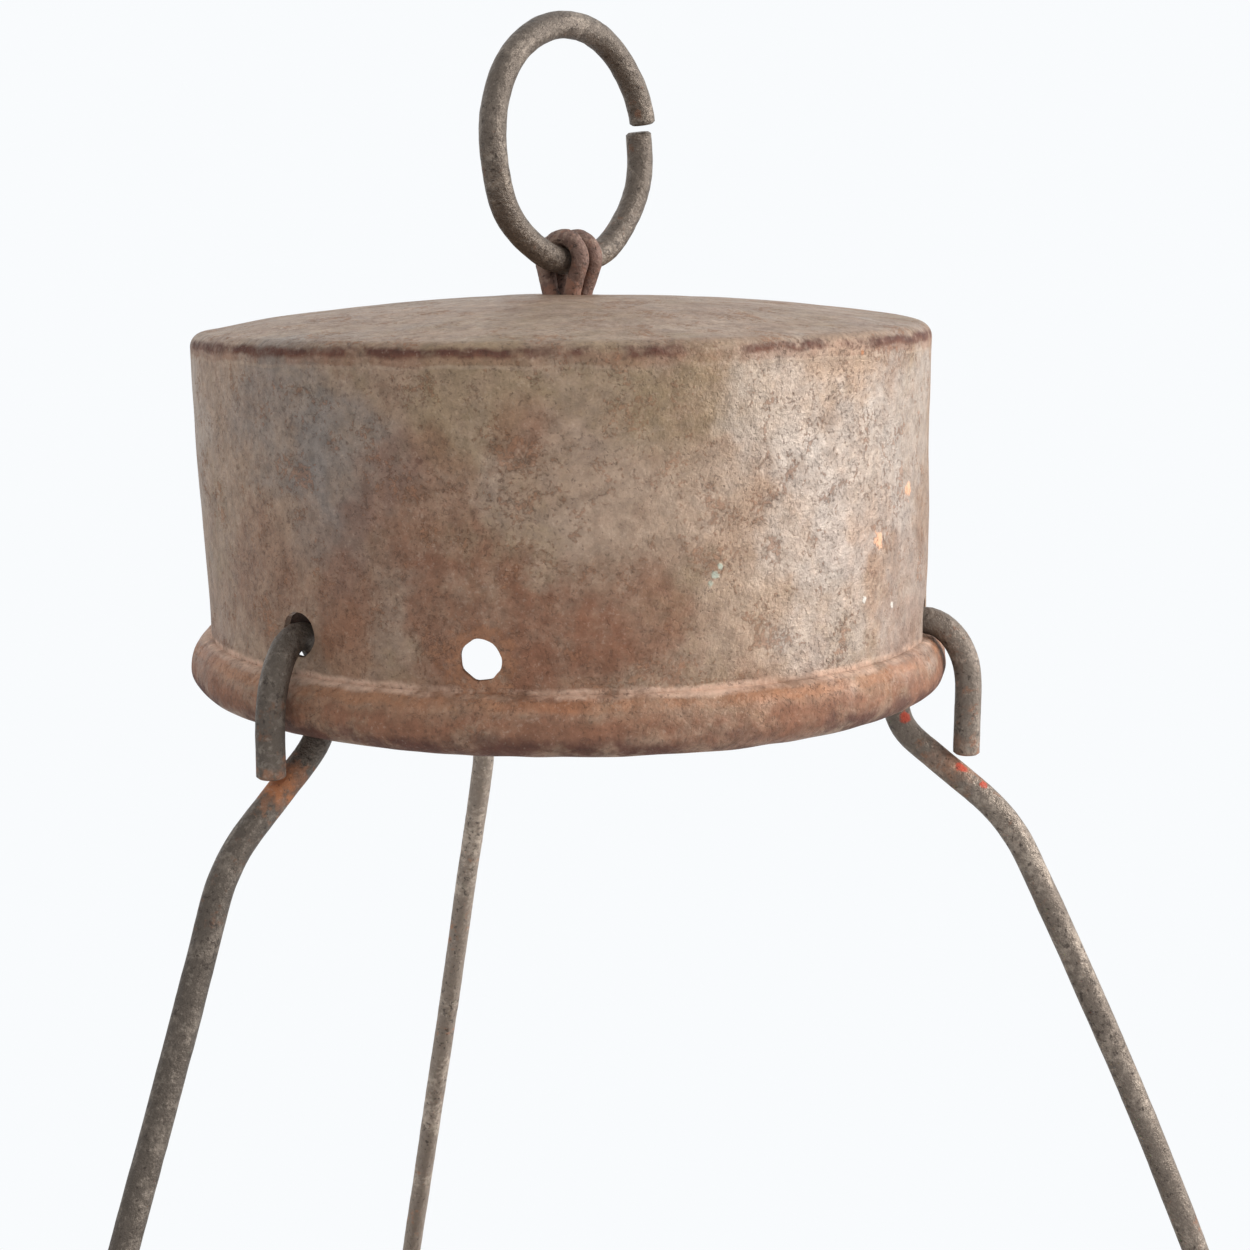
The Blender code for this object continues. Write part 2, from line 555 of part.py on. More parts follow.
def build():
    clear_scene()
    steel = material("patinated_steel", (0.245, 0.205, 0.170), 0.58, 0.55)
    dark_wire = material("dark_wire", (0.150, 0.130, 0.110), 0.45, 0.75)
    rusty_wire = material("rusty_wire", (0.190, 0.120, 0.090), 0.70, 0.40)
    glass = material("clear_glass", (0.93, 0.95, 0.94), 0.05, 0.0, 1.0)
    wax = material("candle_wax", (0.86, 0.80, 0.66), 0.45)
    string = material("charred_string", (0.05, 0.045, 0.04), 0.9)

    # The virtual point where the three hangers' lines meet: the pan sways about it
    upper_radius = CAP_RADIUS - SHEET / 2
    lower_radius = PAN_RADIUS - SHEET / 2
    apex_z = CAP_HOLE_Z + (CAP_HOLE_Z - PAN_HOLE_Z) * upper_radius / (lower_radius - upper_radius)

    ring = hanging_ring(dark_wire)
    tie_axis = pivot("tie_axis", (0, 0, RING_FOOT_Z), ring)
    tie_wire(rusty_wire, tie_axis)
    cap_axis = pivot("cap_axis", (0, 0, CAP_APEX_Z), tie_axis)
    smoke_cap(steel, cap_axis)
    for name, spec in HANGERS.items():
        hole = around(upper_radius, math.radians(spec["cap"]), CAP_HOLE_Z + spec["hole_lift"])
        hinge = pivot(name + "_axis", hole, cap_axis)
        hanger(name, spec, dark_wire, hinge)

    sway_axis = pivot("sway_axis", (0, 0, apex_z), cap_axis)
    base_pan(steel, sway_axis)
    globe_gallery(steel, sway_axis)
    for number, spot in gallery_rivet_places():
        rivet(f"gallery_rivet_{number}", spot.x, spot.y, FLANGE_Z + SHEET,
              PAN_FLOOR_Z - SHEET, rusty_wire, sway_axis)
    candle_socket(steel, sway_axis)
    rivet("socket_rivet", 0, 0, FLANGE_Z + SHEET, PAN_FLOOR_Z - SHEET, rusty_wire, sway_axis)
    globe_axis = pivot("globe_axis", (0, 0, GLOBE_FOOT_Z), sway_axis)
    glass_globe(glass, globe_axis)
    candle_axis = pivot("candle_axis", (0, 0, CANDLE_FOOT_Z), sway_axis)
    candle(wax, candle_axis)
    wick(string, candle_axis)


build()
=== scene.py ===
"""The looks of a hanging candle lantern: a drawn steel smoke cap on a wire ring, three stiff
wire hangers, and a beaded pan with a glass globe and a candle. Metres, +Z up, in the frame's
own place: the origin is the inside of the ring's top, and -Y is the front.
"""
import math

import bmesh
import bpy
from mathutils import Matrix, Vector, noise


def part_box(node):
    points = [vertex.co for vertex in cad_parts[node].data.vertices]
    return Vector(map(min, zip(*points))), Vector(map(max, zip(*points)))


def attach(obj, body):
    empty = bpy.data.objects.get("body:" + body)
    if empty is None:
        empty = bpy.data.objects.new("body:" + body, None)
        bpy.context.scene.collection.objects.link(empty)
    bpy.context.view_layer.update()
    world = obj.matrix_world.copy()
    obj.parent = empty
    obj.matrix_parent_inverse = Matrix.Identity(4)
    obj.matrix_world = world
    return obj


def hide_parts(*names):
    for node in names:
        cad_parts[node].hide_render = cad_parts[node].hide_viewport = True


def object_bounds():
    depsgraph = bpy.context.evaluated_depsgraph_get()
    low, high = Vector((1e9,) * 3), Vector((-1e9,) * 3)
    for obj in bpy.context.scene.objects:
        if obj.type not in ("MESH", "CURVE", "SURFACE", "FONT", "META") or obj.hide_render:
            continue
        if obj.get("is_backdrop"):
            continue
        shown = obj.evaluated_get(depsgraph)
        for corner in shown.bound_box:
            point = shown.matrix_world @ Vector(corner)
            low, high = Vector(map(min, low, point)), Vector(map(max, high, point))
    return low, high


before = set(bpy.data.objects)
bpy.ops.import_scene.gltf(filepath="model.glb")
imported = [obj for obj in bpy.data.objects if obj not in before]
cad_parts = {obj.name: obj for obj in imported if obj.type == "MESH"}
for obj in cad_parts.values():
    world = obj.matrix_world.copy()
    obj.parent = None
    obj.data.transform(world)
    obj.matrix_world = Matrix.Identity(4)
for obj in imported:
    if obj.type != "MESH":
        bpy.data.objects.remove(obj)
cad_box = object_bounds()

mm = 0.001

# Sizes that the pieces share, as the solids have them
WIRE_D = 3.2 * mm
TIE_D = 2.0 * mm
TIE_PITCH = 2.5 * mm
TIE_NECK = 1.5 * mm
TIE_TAIL = 9.0 * mm
TIE_HOLE_RADIUS = 3.35 * mm
RING_TURN = math.radians(51.5)
RING_GAP = 0.9 * mm
RING_GAP_RISE = math.radians(10.0)
SHEET = 0.8 * mm
BEAD_PROUD = 2.3 * mm
BEAD_UPPER = 4.0 * mm
BEAD_LOWER = 2.8 * mm
LIP_INSET = 1.0 * mm
HOOK_HOLE_RADIUS = 2.4 * mm
HOLE_TO_LIP = 10.3 * mm
HOOK_INSIDE_CLEAR = 0.9 * mm
HOOK_OUTSIDE_CLEAR = 1.35 * mm
TOUCH = 0.3 * mm
CAP_DOME_RISE = 4.0 * mm
CAP_EDGE_ROUND = 1.8 * mm
SPARE_HOLE_AZIMUTH = -12.3
PAN_CORNER = 8.0 * mm
PAN_CENTRE_RISE = 2.5 * mm
PAN_STEP_SHARE = 0.45
PAN_STEP_WIDTH = 4.0 * mm
GLASS = 2.2 * mm
GALLERY_FLANGE = 11.0 * mm
GALLERY_LIP = 5.0 * mm
LEDGE_WIDTH = 5.0 * mm
AIR_HOLES = 12
AIR_HOLE_RADIUS = 2.25 * mm
RIVET_HEAD_H = 1.2 * mm
WICK_D = 1.6 * mm

# The hangers: azimuths of their holes in the cap and the pan, how far the cap's hole is off its
# row, how close the hook's leg is to the bead, how far that leg falls in its bend, the shape of
# the wire under the cap, and how far the hook and the loop under it lean sideways
HANGERS = {
    "hanger_left": dict(cap=-42.5, pan=-41.5, hole_lift=0.9 * mm, outside=0.9 * mm, fall=10.0 * mm,
                        loop_drop=0.6 * mm, knee=(10.6 * mm, 12.0 * mm), bend=16.0 * mm, flare=0.38,
                        lean=0.9 * mm, loop_lean=0.0),
    "hanger_right": dict(cap=77.0, pan=77.0, hole_lift=-1.6 * mm, outside=1.35 * mm, fall=8.0 * mm,
                         loop_drop=4.3 * mm, knee=(10.7 * mm, 15.5 * mm), bend=21.0 * mm, flare=0.48,
                         lean=0.0, loop_lean=0.0),
    "hanger_back": dict(cap=193.0, pan=199.0, hole_lift=0.0, outside=1.35 * mm, fall=8.0 * mm,
                        loop_drop=2.5 * mm, knee=(14.5 * mm, 21.2 * mm), bend=14.0 * mm, flare=0.45,
                        lean=-3.6 * mm, loop_lean=-3.8 * mm),
}
HOOK_INNER_FALL = 4.4 * mm
PAN_HOOK_FALL = 5.0 * mm
PAN_LOOP_RISE = 2.2 * mm
PAN_KNEE = (14.0 * mm, 18.0 * mm)
PAN_KNEE_BEND = 14.0 * mm
PAN_FLARE = 0.17
LOOP_BEND = 6.0 * mm
KNEE_REACH = 5.5 * mm
BEND_SEED = 1

# Places read from the frame
cap_low, cap_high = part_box("smoke_cap")
pan_low, pan_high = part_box("base_pan")
ring_low, ring_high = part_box("hanging_ring")
globe_low, globe_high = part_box("glass_globe")
gallery_low, gallery_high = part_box("globe_gallery")
socket_low, socket_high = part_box("candle_socket")
candle_low, candle_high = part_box("candle")
RING_CENTRE_Z = (ring_low.z + ring_high.z) / 2
RING_MEAN_RADIUS = (ring_high.z - ring_low.z - WIRE_D) / 2
RING_FOOT_Z = RING_CENTRE_Z - RING_MEAN_RADIUS
CAP_RADIUS = cap_high.x - BEAD_PROUD
CAP_LIP_Z = cap_low.z
CAP_APEX_Z = cap_high.z
CAP_EDGE_Z = CAP_APEX_Z - CAP_DOME_RISE
CAP_HOLE_Z = CAP_LIP_Z + HOLE_TO_LIP
CAP_CREASE_Z = CAP_LIP_Z + BEAD_UPPER + BEAD_LOWER
PAN_RADIUS = pan_high.x - BEAD_PROUD
PAN_LIP_Z = pan_high.z
PAN_BASE_Z = pan_low.z
PAN_HOLE_Z = PAN_LIP_Z - HOLE_TO_LIP
FLANGE_Z = gallery_low.z
CANDLE_FOOT_Z = candle_low.z
GALLERY_OUTER_RADIUS = gallery_high.x
PAN_CENTRE_RADIUS = (GALLERY_OUTER_RADIUS
                     + PAN_STEP_SHARE * (PAN_RADIUS - PAN_CORNER - GALLERY_OUTER_RADIUS))

# How the cap has bent in use: its top is a little askew and its left side leans out
CAP_TILT = math.tan(math.radians(0.70))
CAP_LEAN_LEFT = 1.25 * mm
CAP_REAR_BULGE = 1.15 * mm


# --- outlines --------------------------------------------------------------------------------


def around(radius, azimuth, z):
    """The point at this radius and height. Azimuth 0 is the front, -Y, and grows towards +X."""
    return Vector((radius * math.sin(azimuth), -radius * math.cos(azimuth), z))


def arc(centre, radii, start, end, step=5.0):
    """Points on an ellipse from the angle start to the angle end, in degrees."""
    steps = max(2, math.ceil(abs(end - start) / step))
    angles = [math.radians(start + (end - start) * i / steps) for i in range(steps + 1)]
    return [Vector((centre[0] + radii[0] * math.cos(a), centre[1] + radii[1] * math.sin(a))) for a in angles]


def straight(start, end, spacing):
    """Points from start up to, but without, end."""
    start, end = Vector(start), Vector(end)
    steps = max(1, round((end - start).length / spacing))
    return [start.lerp(end, i / steps) for i in range(steps)]


def rounded(points, bends):
    """The open line through points, with an arc of the given radius at each inner corner."""
    line = [Vector(points[0])]
    for before, corner, after, bend in zip(points, points[1:], points[2:], bends):
        corner = Vector(corner)
        back = (Vector(before) - corner).normalized()
        ahead = (Vector(after) - corner).normalized()
        turn = math.pi - back.angle(ahead)
        centre = corner + (back + ahead).normalized() * (bend / math.cos(turn / 2))
        first = corner + back * (bend * math.tan(turn / 2)) - centre
        side = 1 if back.x * ahead.y - back.y * ahead.x < 0 else -1
        steps = max(2, math.ceil(math.degrees(turn) / 5))
        for i in range(steps + 1):
            line.append(centre + Matrix.Rotation(side * turn * i / steps, 2) @ first)
    return line + [Vector(points[-1])]


def bezier(start, start_handle, end_handle, end, count):
    points = []
    for i in range(count + 1):
        t = i / count
        s = 1 - t
        points.append(start * s ** 3 + start_handle * 3 * s * s * t
                      + end_handle * 3 * s * t * t + end * t ** 3)
    return points


def sheet_outline(line, thickness):
    """The closed outline of a sheet as (radius, height, inner): the metal is on the line's right."""
    offset = []
    for i, point in enumerate(line):
        into = (point - line[i - 1]).normalized() if i else None
        out = (line[i + 1] - point).normalized() if i + 1 < len(line) else None
        into = into or out
        out = out or into
        mean = (into + out).normalized()
        offset.append(point + Vector((mean.y, -mean.x)) * (thickness / max(0.6, mean.dot(into))))
    return [(p.x, p.y, 0.0) for p in line] + [(p.x, p.y, 1.0) for p in offset[::-1]]


def bead(wall_radius, lip_z, up):
    """Outer face of a beaded rim, from its crease to its curled lip. up is 1 for a rim on top."""
    widest = lip_z - up * BEAD_LOWER
    flare = arc((wall_radius, widest), (BEAD_PROUD, -up * BEAD_UPPER), 90, 0)
    curl = arc((wall_radius - LIP_INSET, widest), (BEAD_PROUD + LIP_INSET, up * BEAD_LOWER), 0, 90)
    return flare + curl[1:]


# --- meshes ----------------------------------------------------------------------------------


def add_piece(name, mesh, finish, sharp=38.0):
    mesh.materials.clear()
    mesh.materials.append(finish)
    mesh.shade_smooth()
    mesh.set_sharp_from_angle(angle=math.radians(sharp))
    piece = bpy.data.objects.new(name, mesh)
    bpy.context.scene.collection.objects.link(piece)
    return piece


def lathe(name, outline, segments, form=None):
    """A turned body from its closed outline, or from one that starts and ends on the axis.
    form moves each point to its worn place. The inner side is kept as an attribute."""
    verts = []
    inner = []
    for s in range(segments):
        azimuth = 2 * math.pi * s / segments
        for r, z, side in outline:
            point = around(r, azimuth, z)
            verts.append(form(point, azimuth) if form else point)
            inner.append(side)
    count = len(outline)
    closed = outline[0][0] > 0
    faces = []
    for s in range(segments):
        here, there = s * count, (s + 1) % segments * count
        for k in range(count if closed else count - 1):
            n = (k + 1) % count
            faces.append((here + k, here + n, there + n, there + k))
    mesh = bpy.data.meshes.new(name)
    mesh.from_pydata(verts, [], faces)
    mesh.attributes.new("inner", "FLOAT", "POINT").data.foreach_set("value", inner)
    tidy = bmesh.new()
    tidy.from_mesh(mesh)
    if not closed:
        bmesh.ops.remove_doubles(tidy, verts=tidy.verts, dist=0.001 * mm)
    bmesh.ops.recalc_face_normals(tidy, faces=tidy.faces)
    tidy.to_mesh(mesh)
    tidy.free()
    return mesh


def swept(name, path, radius, sides=20, form=None):
    """A wire along path, its two ends cut square with a worn edge."""
    tangents = []
    for i in range(len(path)):
        tangents.append((path[min(i + 1, len(path) - 1)] - path[max(i - 1, 0)]).normalized())
    normal = tangents[0].orthogonal().normalized()
    rings = []
    run = 0.0
    for i, (point, tangent) in enumerate(zip(path, tangents)):
        normal = (normal - tangent * normal.dot(tangent)).normalized()
        side = tangent.cross(normal)
        run += (point - path[i - 1]).length if i else 0.0
        ring = []
        for k in range(sides):
            turn = 2 * math.pi * k / sides
            out = normal * math.cos(turn) + side * math.sin(turn)
            width = radius * (form(point + out * radius, run, turn) if form else 1.0)
            ring.append(point + out * width)
        rings.append(ring)
    worn = 0.16 * radius
    for end, inward in ((0, tangents[0]), (-1, -tangents[-1])):
        centre = path[end]
        face = [centre + (p - centre) * 0.80 for p in rings[end]]
        rings[end] = [p + inward * worn for p in rings[end]]
        rings.insert(0, face) if end == 0 else rings.append(face)
    mesh = bpy.data.meshes.new(name)
    verts = [p for ring in rings for p in ring]
    faces = []
    for i in range(len(rings) - 1):
        for k in range(sides):
            n = (k + 1) % sides
            faces.append((i * sides + k, i * sides + n, (i + 1) * sides + n, (i + 1) * sides + k))
    faces.append(tuple(range(sides))[::-1])
    faces.append(tuple(range(len(verts) - sides, len(verts))))
    mesh.from_pydata(verts, [], faces)
    return mesh


def even(path, spacing):
    """The same path with its points at even distances."""
    out = [path[0].copy()]
    left = spacing
    for a, b in zip(path, path[1:]):
        length = (b - a).length
        at = left
        while at < length:
            out.append(a.lerp(b, at / length))
            at += spacing
        left = at - length
    out.append(path[-1].copy())
    return out


def eased(path, passes):
    """The same path with its bends eased, its ends kept."""
    for _ in range(passes):
        path = [path[0]] + [(a + b * 2 + c) / 4 for a, b, c in zip(path, path[1:], path[2:])] + [path[-1]]
    return path


def hand_bent(path, amount, wave):
    """The same path with the small unevenness of wire bent by hand, alike in every run."""
    noise.seed_set(BEND_SEED)
    return [p + noise.noise_vector(p / wave) * amount for p in path]


def cut(mesh, cutters):
    """The mesh with the cutters' volumes taken out of it."""
    body = bpy.data.objects.new("body", mesh)
    bpy.context.scene.collection.objects.link(body)
    joined = bmesh.new()
    for cutter in cutters:
        joined.from_mesh(cutter)
    tool_mesh = bpy.data.meshes.new("cutters")
    joined.to_mesh(tool_mesh)
    joined.free()
    tool = bpy.data.objects.new("cutters", tool_mesh)
    bpy.context.scene.collection.objects.link(tool)
    step = body.modifiers.new("cut", "BOOLEAN")
    step.object = tool
    graph = bpy.context.evaluated_depsgraph_get()
    made = bpy.data.meshes.new_from_object(body.evaluated_get(graph))
    made.name = mesh.name
    bpy.data.objects.remove(body)
    bpy.data.objects.remove(tool)
    return made


def punch(azimuth, z, wall_radius, hole_radius, ragged=0.05, depth=7 * mm, sides=40):
    """A cutter for one punched hole: a slightly uneven round."""
    out = around(1.0, azimuth, 0.0)
    side = Vector((0, 0, 1)).cross(out)
    rim = []
    for k in range(sides):
        turn = 2 * math.pi * k / sides
        uneven = noise.noise(Vector((math.cos(turn), math.sin(turn), azimuth)) * 2.2)
        radius = hole_radius * (1 + ragged * uneven)
        rim.append(side * (radius * math.cos(turn)) + Vector((0, 0, z + radius * math.sin(turn))))
    verts = [p + out * (wall_radius - depth) for p in rim] + [p + out * (wall_radius + depth) for p in rim]
    faces = [(k, (k + 1) % sides, sides + (k + 1) % sides, sides + k) for k in range(sides)]
    faces += [tuple(range(sides))[::-1], tuple(range(sides, 2 * sides))]
    mesh = bpy.data.meshes.new("punch")
    mesh.from_pydata(verts, [], faces)
    fix = bmesh.new()
    fix.from_mesh(mesh)
    bmesh.ops.recalc_face_normals(fix, faces=fix.faces)
    fix.to_mesh(mesh)
    fix.free()
    return mesh


def smooth(value, low, high):
    t = min(1.0, max(0.0, (value - low) / (high - low)))
    return t * t * (3 - 2 * t)


# --- node building ---------------------------------------------------------------------------


class Nodes:
    """Adds nodes to one tree. Each input is a socket to link or a plain value."""

    def __init__(self, tree):
        self.tree = tree

    def add(self, kind, inputs=None, **settings):
        node = self.tree.nodes.new("ShaderNode" + kind)
        for key, value in settings.items():
            setattr(node, key, value)
        for key, value in (inputs or {}).items():
            self.feed(node.inputs[key], value)
        return node

    def feed(self, socket, value):
        if isinstance(value, bpy.types.NodeSocket):
            self.tree.links.new(value, socket)
        else:
            socket.default_value = value

    def math(self, operation, a, b=0.0, clamp=False):
        return self.add("Math", {0: a, 1: b}, operation=operation, use_clamp=clamp).outputs[0]

    def vector(self, operation, a, b=(0.0, 0.0, 0.0)):
        node = self.add("VectorMath", {0: a, 1: b}, operation=operation)
        return node.outputs["Value" if operation in ("LENGTH", "DISTANCE", "DOT_PRODUCT") else "Vector"]

    def noise(self, vector, scale, detail=4.0, rough=0.55, twist=0.0):
        inputs = {"Vector": vector, "Scale": scale, "Detail": detail, "Roughness": rough, "Distortion": twist}
        return self.add("TexNoise", inputs).outputs[0]

    def smooth(self, value, low, high, to_low=0.0, to_high=1.0):
        inputs = {"Value": value, "From Min": low, "From Max": high, "To Min": to_low, "To Max": to_high}
        return self.add("MapRange", inputs, interpolation_type="SMOOTHSTEP").outputs[0]

    def mix(self, factor, a, b, blend="MIX"):
        node = self.add("Mix", data_type="RGBA", blend_type=blend)
        for socket, value in zip((node.inputs[0], node.inputs[6], node.inputs[7]), (factor, a, b)):
            self.feed(socket, value if not isinstance(value, tuple) or len(value) == 4 else (*value, 1.0))
        return node.outputs[2]

    def blend(self, factor, a, b):
        """A number between a and b."""
        return self.add("Mix", {0: factor, 2: a, 3: b}, data_type="FLOAT").outputs[0]

    def group(self, name, **inputs):
        inputs = {key.replace("_", " ").capitalize(): value for key, value in inputs.items()}
        return self.add("Group", inputs, node_tree=bpy.data.node_groups[name]).outputs


SOCKETS = {"value": "NodeSocketFloat", "vector": "NodeSocketVector", "colour": "NodeSocketColor"}


def effect(name, inputs, outputs):
    """A new shader node group. Returns its nodes, its inputs by name and its output node."""
    tree = bpy.data.node_groups.new(name, "ShaderNodeTree")
    for label, (kind, default) in inputs.items():
        socket = tree.interface.new_socket(name=label, in_out="INPUT", socket_type=SOCKETS[kind])
        if default is not None:
            socket.default_value = default
    for label, kind in outputs.items():
        tree.interface.new_socket(name=label, in_out="OUTPUT", socket_type=SOCKETS[kind])
    given = tree.nodes.new("NodeGroupInput").outputs
    result = tree.nodes.new("NodeGroupOutput").inputs
    return Nodes(tree), given, result


def make_bloom_effect():
    """Cloudy patches of a second tone, their cover and edge set from outside."""
    n, given, result = effect("Bloom", {"Vector": ("vector", None), "Scale": ("value", 50.0),
                                        "Cover": ("value", 0.5), "Edge": ("value", 0.1),
                                        "Breakup": ("value", 0.5)}, {"Mask": "value"})
    wide = n.noise(given["Vector"], given["Scale"], 6.0, 0.62, 0.6)
    fine = n.noise(given["Vector"], n.math("MULTIPLY", given["Scale"], 9.0), 5.0, 0.7)
    fine = n.math("MULTIPLY", n.math("SUBTRACT", fine, 0.5), given["Breakup"])
    level = n.math("ADD", wide, fine)
    edge_at = n.math("SUBTRACT", 1.0, given["Cover"])
    low = n.math("SUBTRACT", edge_at, given["Edge"])
    high = n.math("ADD", edge_at, given["Edge"])
    n.feed(result["Mask"], n.smooth(level, low, high))


def make_grain_effect():
    """Sandy surface grain: a height, light specks and dark pits."""
    n, given, result = effect("Sand grain", {"Vector": ("vector", None), "Scale": ("value", 2200.0)},
                              {"Height": "value", "Specks": "value", "Pits": "value"})
    fine = n.noise(given["Vector"], given["Scale"], 3.0, 0.6)
    broad = n.noise(given["Vector"], n.math("MULTIPLY", given["Scale"], 0.23), 4.0, 0.6)
    speck = n.noise(given["Vector"], n.math("MULTIPLY", given["Scale"], 0.75), 3.0, 0.65)
    crowded = n.noise(given["Vector"], n.math("MULTIPLY", given["Scale"], 0.05), 3.0, 0.6)
    speck = n.math("ADD", speck, n.math("MULTIPLY", n.math("SUBTRACT", crowded, 0.5), 0.30))
    n.feed(result["Height"], n.blend(0.45, fine, broad))
    n.feed(result["Specks"], n.smooth(speck, 0.59, 0.70))
    n.feed(result["Pits"], n.smooth(speck, 0.42, 0.33))


def make_band_effect():
    """A ragged level line round a turned piece, such as a stain along a crease."""
    n, given, result = effect("Band", {"Vector": ("vector", None), "Height": ("value", 0.0),
                                       "Slope": ("value", 0.0), "Width": ("value", 0.001),
                                       "Waver": ("value", 0.001), "Scale": ("value", 150.0)},
                              {"Mask": "value"})
    parts = n.add("SeparateXYZ", {0: given["Vector"]}).outputs
    level = n.math("ADD", given["Height"], n.math("MULTIPLY", parts[0], given["Slope"]))
    waver = n.math("SUBTRACT", n.noise(given["Vector"], given["Scale"], 5.0, 0.65), 0.5)
    waver = n.math("MULTIPLY", waver, n.math("MULTIPLY", given["Waver"], 2.0))
    off = n.math("ABSOLUTE", n.math("ADD", n.math("SUBTRACT", parts[2], level), waver))
    n.feed(result["Mask"], n.smooth(off, given["Width"], n.math("MULTIPLY", given["Width"], 0.25)))


def make_spot_effect():
    """One ragged spot, such as a chip or a splash."""
    n, given, result = effect("Spot", {"Vector": ("vector", None), "Centre": ("vector", None),
                                       "Radius": ("value", 0.002), "Ragged": ("value", 0.5),
                                       "Scale": ("value", 700.0)}, {"Mask": "value"})
    away = n.vector("DISTANCE", given["Vector"], given["Centre"])
    rough = n.math("SUBTRACT", n.noise(given["Vector"], given["Scale"], 4.0, 0.6), 0.5)
    rough = n.math("MULTIPLY", rough, given["Radius"])
    rough = n.math("MULTIPLY", rough, n.math("MULTIPLY", given["Ragged"], 3.0))
    level = n.math("ADD", away, rough)
    n.feed(result["Mask"], n.smooth(level, given["Radius"], n.math("MULTIPLY", given["Radius"], 0.55)))


def new_material(name):
    made = bpy.data.materials.new(name)
    made.use_nodes = True
    tree = made.node_tree
    tree.nodes.clear()
    n = Nodes(tree)
    shader = n.add("BsdfPrincipled")
    target = n.add("OutputMaterial")
    tree.links.new(shader.outputs[0], target.inputs[0])
    return made, n, shader.inputs


def place_in(n, shift=(0.0, 0.0, 0.0)):
    """The piece's own coordinates, moved so that two pieces don't share one pattern."""
    own = n.add("TexCoord").outputs["Object"]
    return own, n.vector("ADD", own, shift)


TAN = (0.345, 0.238, 0.168)
PALE_TAN = (0.450, 0.335, 0.250)
BLUE_GREY = (0.225, 0.196, 0.178)
OLIVE = (0.285, 0.205, 0.120)
BROWN = (0.225, 0.132, 0.086)
RED_BROWN = (0.225, 0.098, 0.056)
RUST = (0.300, 0.140, 0.075)
# A pale grey for patina that on the cap also stands for painted sheen and painted rim light
SHEEN_PALE_GREY = (0.440, 0.375, 0.325)
BRIGHT_RUST = (0.480, 0.190, 0.080)
PALE_RUST = (0.580, 0.390, 0.290)
DARK_RUST = (0.105, 0.043, 0.030)
SOOT = (0.030, 0.026, 0.023)
PEACH = (0.780, 0.430, 0.270)
CHALK = (0.760, 0.720, 0.660)
RED_LEAD = (0.560, 0.075, 0.035)
VERDIGRIS = (0.420, 0.520, 0.440)


